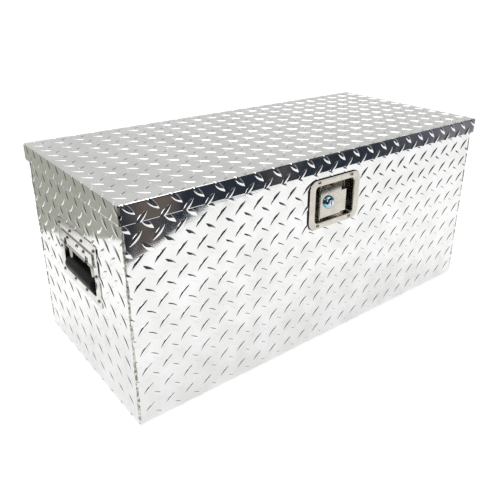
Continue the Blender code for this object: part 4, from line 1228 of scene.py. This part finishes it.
# %% [markdown]
# A blind rivet has a low dome with a hole in its middle, where the mandrel broke off. One is modelled and
# every other is a copy, turned to its own wall.

# %% Rivets
HEAD = 3.3 * MM
RISE = 1.6 * MM
SHANK = 1.6 * MM
LIFT = 0.3 * MM
rivet_pattern = spin_profile(
    "rivet pattern",
    [
        (0, 0.5 * MM),
        (0.9 * MM, 0.6 * MM),
        (1.0 * MM, LIFT + RISE - 0.15 * MM),
        (1.35 * MM, LIFT + RISE),
        (2.2 * MM, LIFT + 0.8 * RISE),
        (2.9 * MM, LIFT + 0.45 * RISE),
        (HEAD, LIFT),
        (SHANK, LIFT),
        (SHANK, -3.6 * MM),
        (2.3 * MM, -3.8 * MM),
        (2.4 * MM, -5.6 * MM),
        (1.5 * MM, -6.4 * MM),
        (0, -6.4 * MM),
    ],
    20,
)
smooth(rivet_pattern, 60)


def set_rivet(name, seat, facing, *nodes):
    rivet = copy_piece(rivet_pattern, name)
    stand_up(rivet, seat, facing)
    place_piece(rivet, "chest", "zinc", zinc, *nodes)


def seat_of(node, facing):
    """The point of the wall under a rivet's head, from the rivet's box."""
    low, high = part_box(node)
    middle = (low + high) / 2
    facing = Vector(facing)
    half = abs((high - low).dot(facing)) / 2
    return middle + facing * (half - RISE - LIFT)


for number in range(1, 5):
    node = f"latch_rivet_{number}"
    set_rivet(f"set_{node}", seat_of(node, FORWARD), FORWARD, node)
for end, way in (("left", -1), ("right", 1)):
    for number in range(1, 11):
        node = f"handle_rivet_{end}_{number}"
        set_rivet(f"set_{node}", seat_of(node, (way, 0, 0)), (way, 0, 0), node)

# %% [markdown]
# ### End handles
#
# Each handle has a pressed dish, a plate over its upper half that the bail turns under, a bail of round
# bar and a moulded grip. The bail is a path with its corners rounded, and a round section run along it.

# %% Handles
DISH_MOUTH = (117 * MM, 67 * MM)
DISH_MOUTH_DROP = 3.5 * MM
PLATE_RIVETS = (-6.5 * MM, 31 * MM, -31 * MM)
PLATE_RIVET_DROP = 5.5 * MM
PLATE_HEAD_SEAT = 1.7 * MM
BAIL = 4 * MM
BAIL_BEND = 5 * MM
BAIL_TAIL = 12 * MM
GRIP_EDGE = 2.5 * MM


def make_dish(end, way):
    low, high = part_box(f"handle_dish_{end}")
    flange = (high.y - low.y, high.z - low.z)
    depth = high.x - low.x - PRESSED_SHEET
    shape = (flange, 5 * MM, DISH_MOUTH, 6 * MM, depth, 1.3 * MM, PRESSED_SHEET, DISH_MOUTH_DROP)
    dish = press_tray(f"pressed_dish_{end}", *shape)
    face = low.x if way < 0 else high.x
    stand_up(dish, (face, (low.y + high.y) / 2, (low.z + high.z) / 2), (way, 0, 0))
    smooth(dish)
    place_piece(dish, "chest", "stainless", bright_stainless, f"handle_dish_{end}")
    plate_low, plate_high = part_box(f"handle_plate_{end}")
    plate_face = way * (max(abs(plate_low.x), abs(plate_high.x)) - PLATE_HEAD_SEAT)
    for across in PLATE_RIVETS:
        seat = (plate_face, (low.y + high.y) / 2 + across, plate_high.z - PLATE_RIVET_DROP)
        set_rivet(f"plate_rivet_{end}_{round(across / MM)}", seat, (way, 0, 0))


def make_bail(end):
    pivot = Vector(JOINTS[f"handle_{end}_swing"]["pos_m"])
    bail_low, bail_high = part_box(f"handle_bail_{end}")
    grip_low, grip_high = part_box(f"handle_grip_{end}")
    grip_middle = (grip_low + grip_high) / 2
    first, last = bail_low.y + BAIL, bail_high.y - BAIL
    path = [
        (pivot.x, pivot.y - BAIL_TAIL, pivot.z),
        (pivot.x, first, pivot.z),
        (grip_middle.x, first, grip_middle.z),
        (grip_middle.x, last, grip_middle.z),
        (pivot.x, last, pivot.z),
        (pivot.x, pivot.y + BAIL_TAIL, pivot.z),
    ]
    bail = add_path(f"round_bail_{end}", path)
    choose(bail, "VERT", lambda vertex: 0 < vertex.index < len(path) - 1)
    bpy.ops.mesh.bevel(offset=BAIL_BEND, segments=8, affect="VERTICES")
    leave()
    bpy.ops.object.convert(target="CURVE")
    bail = bpy.context.object
    bail.data.bevel_depth = BAIL
    bail.data.bevel_resolution = 4
    bail.data.use_fill_caps = True
    bpy.ops.object.convert(target="MESH")
    bail = bpy.context.object
    bail.name = bail.data.name = f"round_bail_{end}"
    tidy_normals(bail)
    smooth(bail, 50)
    place_piece(bail, f"handle_{end}", "chrome", bail_bar, f"handle_bail_{end}")
    radius, half = (grip_high.z - grip_low.z) / 2, (grip_high.y - grip_low.y) / 2
    top = [(0, half), *rounded(radius, half, GRIP_EDGE, GRIP_EDGE)]
    bottom = [(out, -up) for out, up in reversed(top)]
    grip = spin_profile(f"moulded_grip_{end}", top + bottom, 40)
    grip.data.transform(Matrix.Translation(grip_middle) @ Matrix.Rotation(math.radians(90), 4, "X"))
    smooth(grip, 50)
    place_piece(grip, f"handle_{end}", "grip_rubber", grip_rubber, f"handle_grip_{end}")


for end, way in (("left", -1), ("right", 1)):
    make_dish(end, way)
    make_bail(end)
bpy.data.objects.remove(rivet_pattern)

# %% [markdown]
# ## What the frame already has right
#
# The hinge, strut, bolt, seal and stiffener have their true shape in the frame. They only need a real
# finish, chosen by the slot that the record gives each node.

# %% Finishes on the frame's own nodes
FINISH_OF_SLOT = {
    "tread_plate": rolled_plate,
    "plain_aluminium": mill_aluminium,
    "stainless": bright_stainless,
    "chrome": bright_stainless,
    "zinc": zinc,
    "rubber": seal_rubber,
    "grip_rubber": grip_rubber,
    "strut_black": black_paint,
}
for part in frame["record"]["subparts"]:
    node = frame["nodes"][part["node"]]
    finish = FINISH_OF_SLOT[part["material_slot"]]
    for material_slot in node.material_slots:
        material_slot.material = finish
print("finishes set on", len(frame["nodes"]), "nodes")
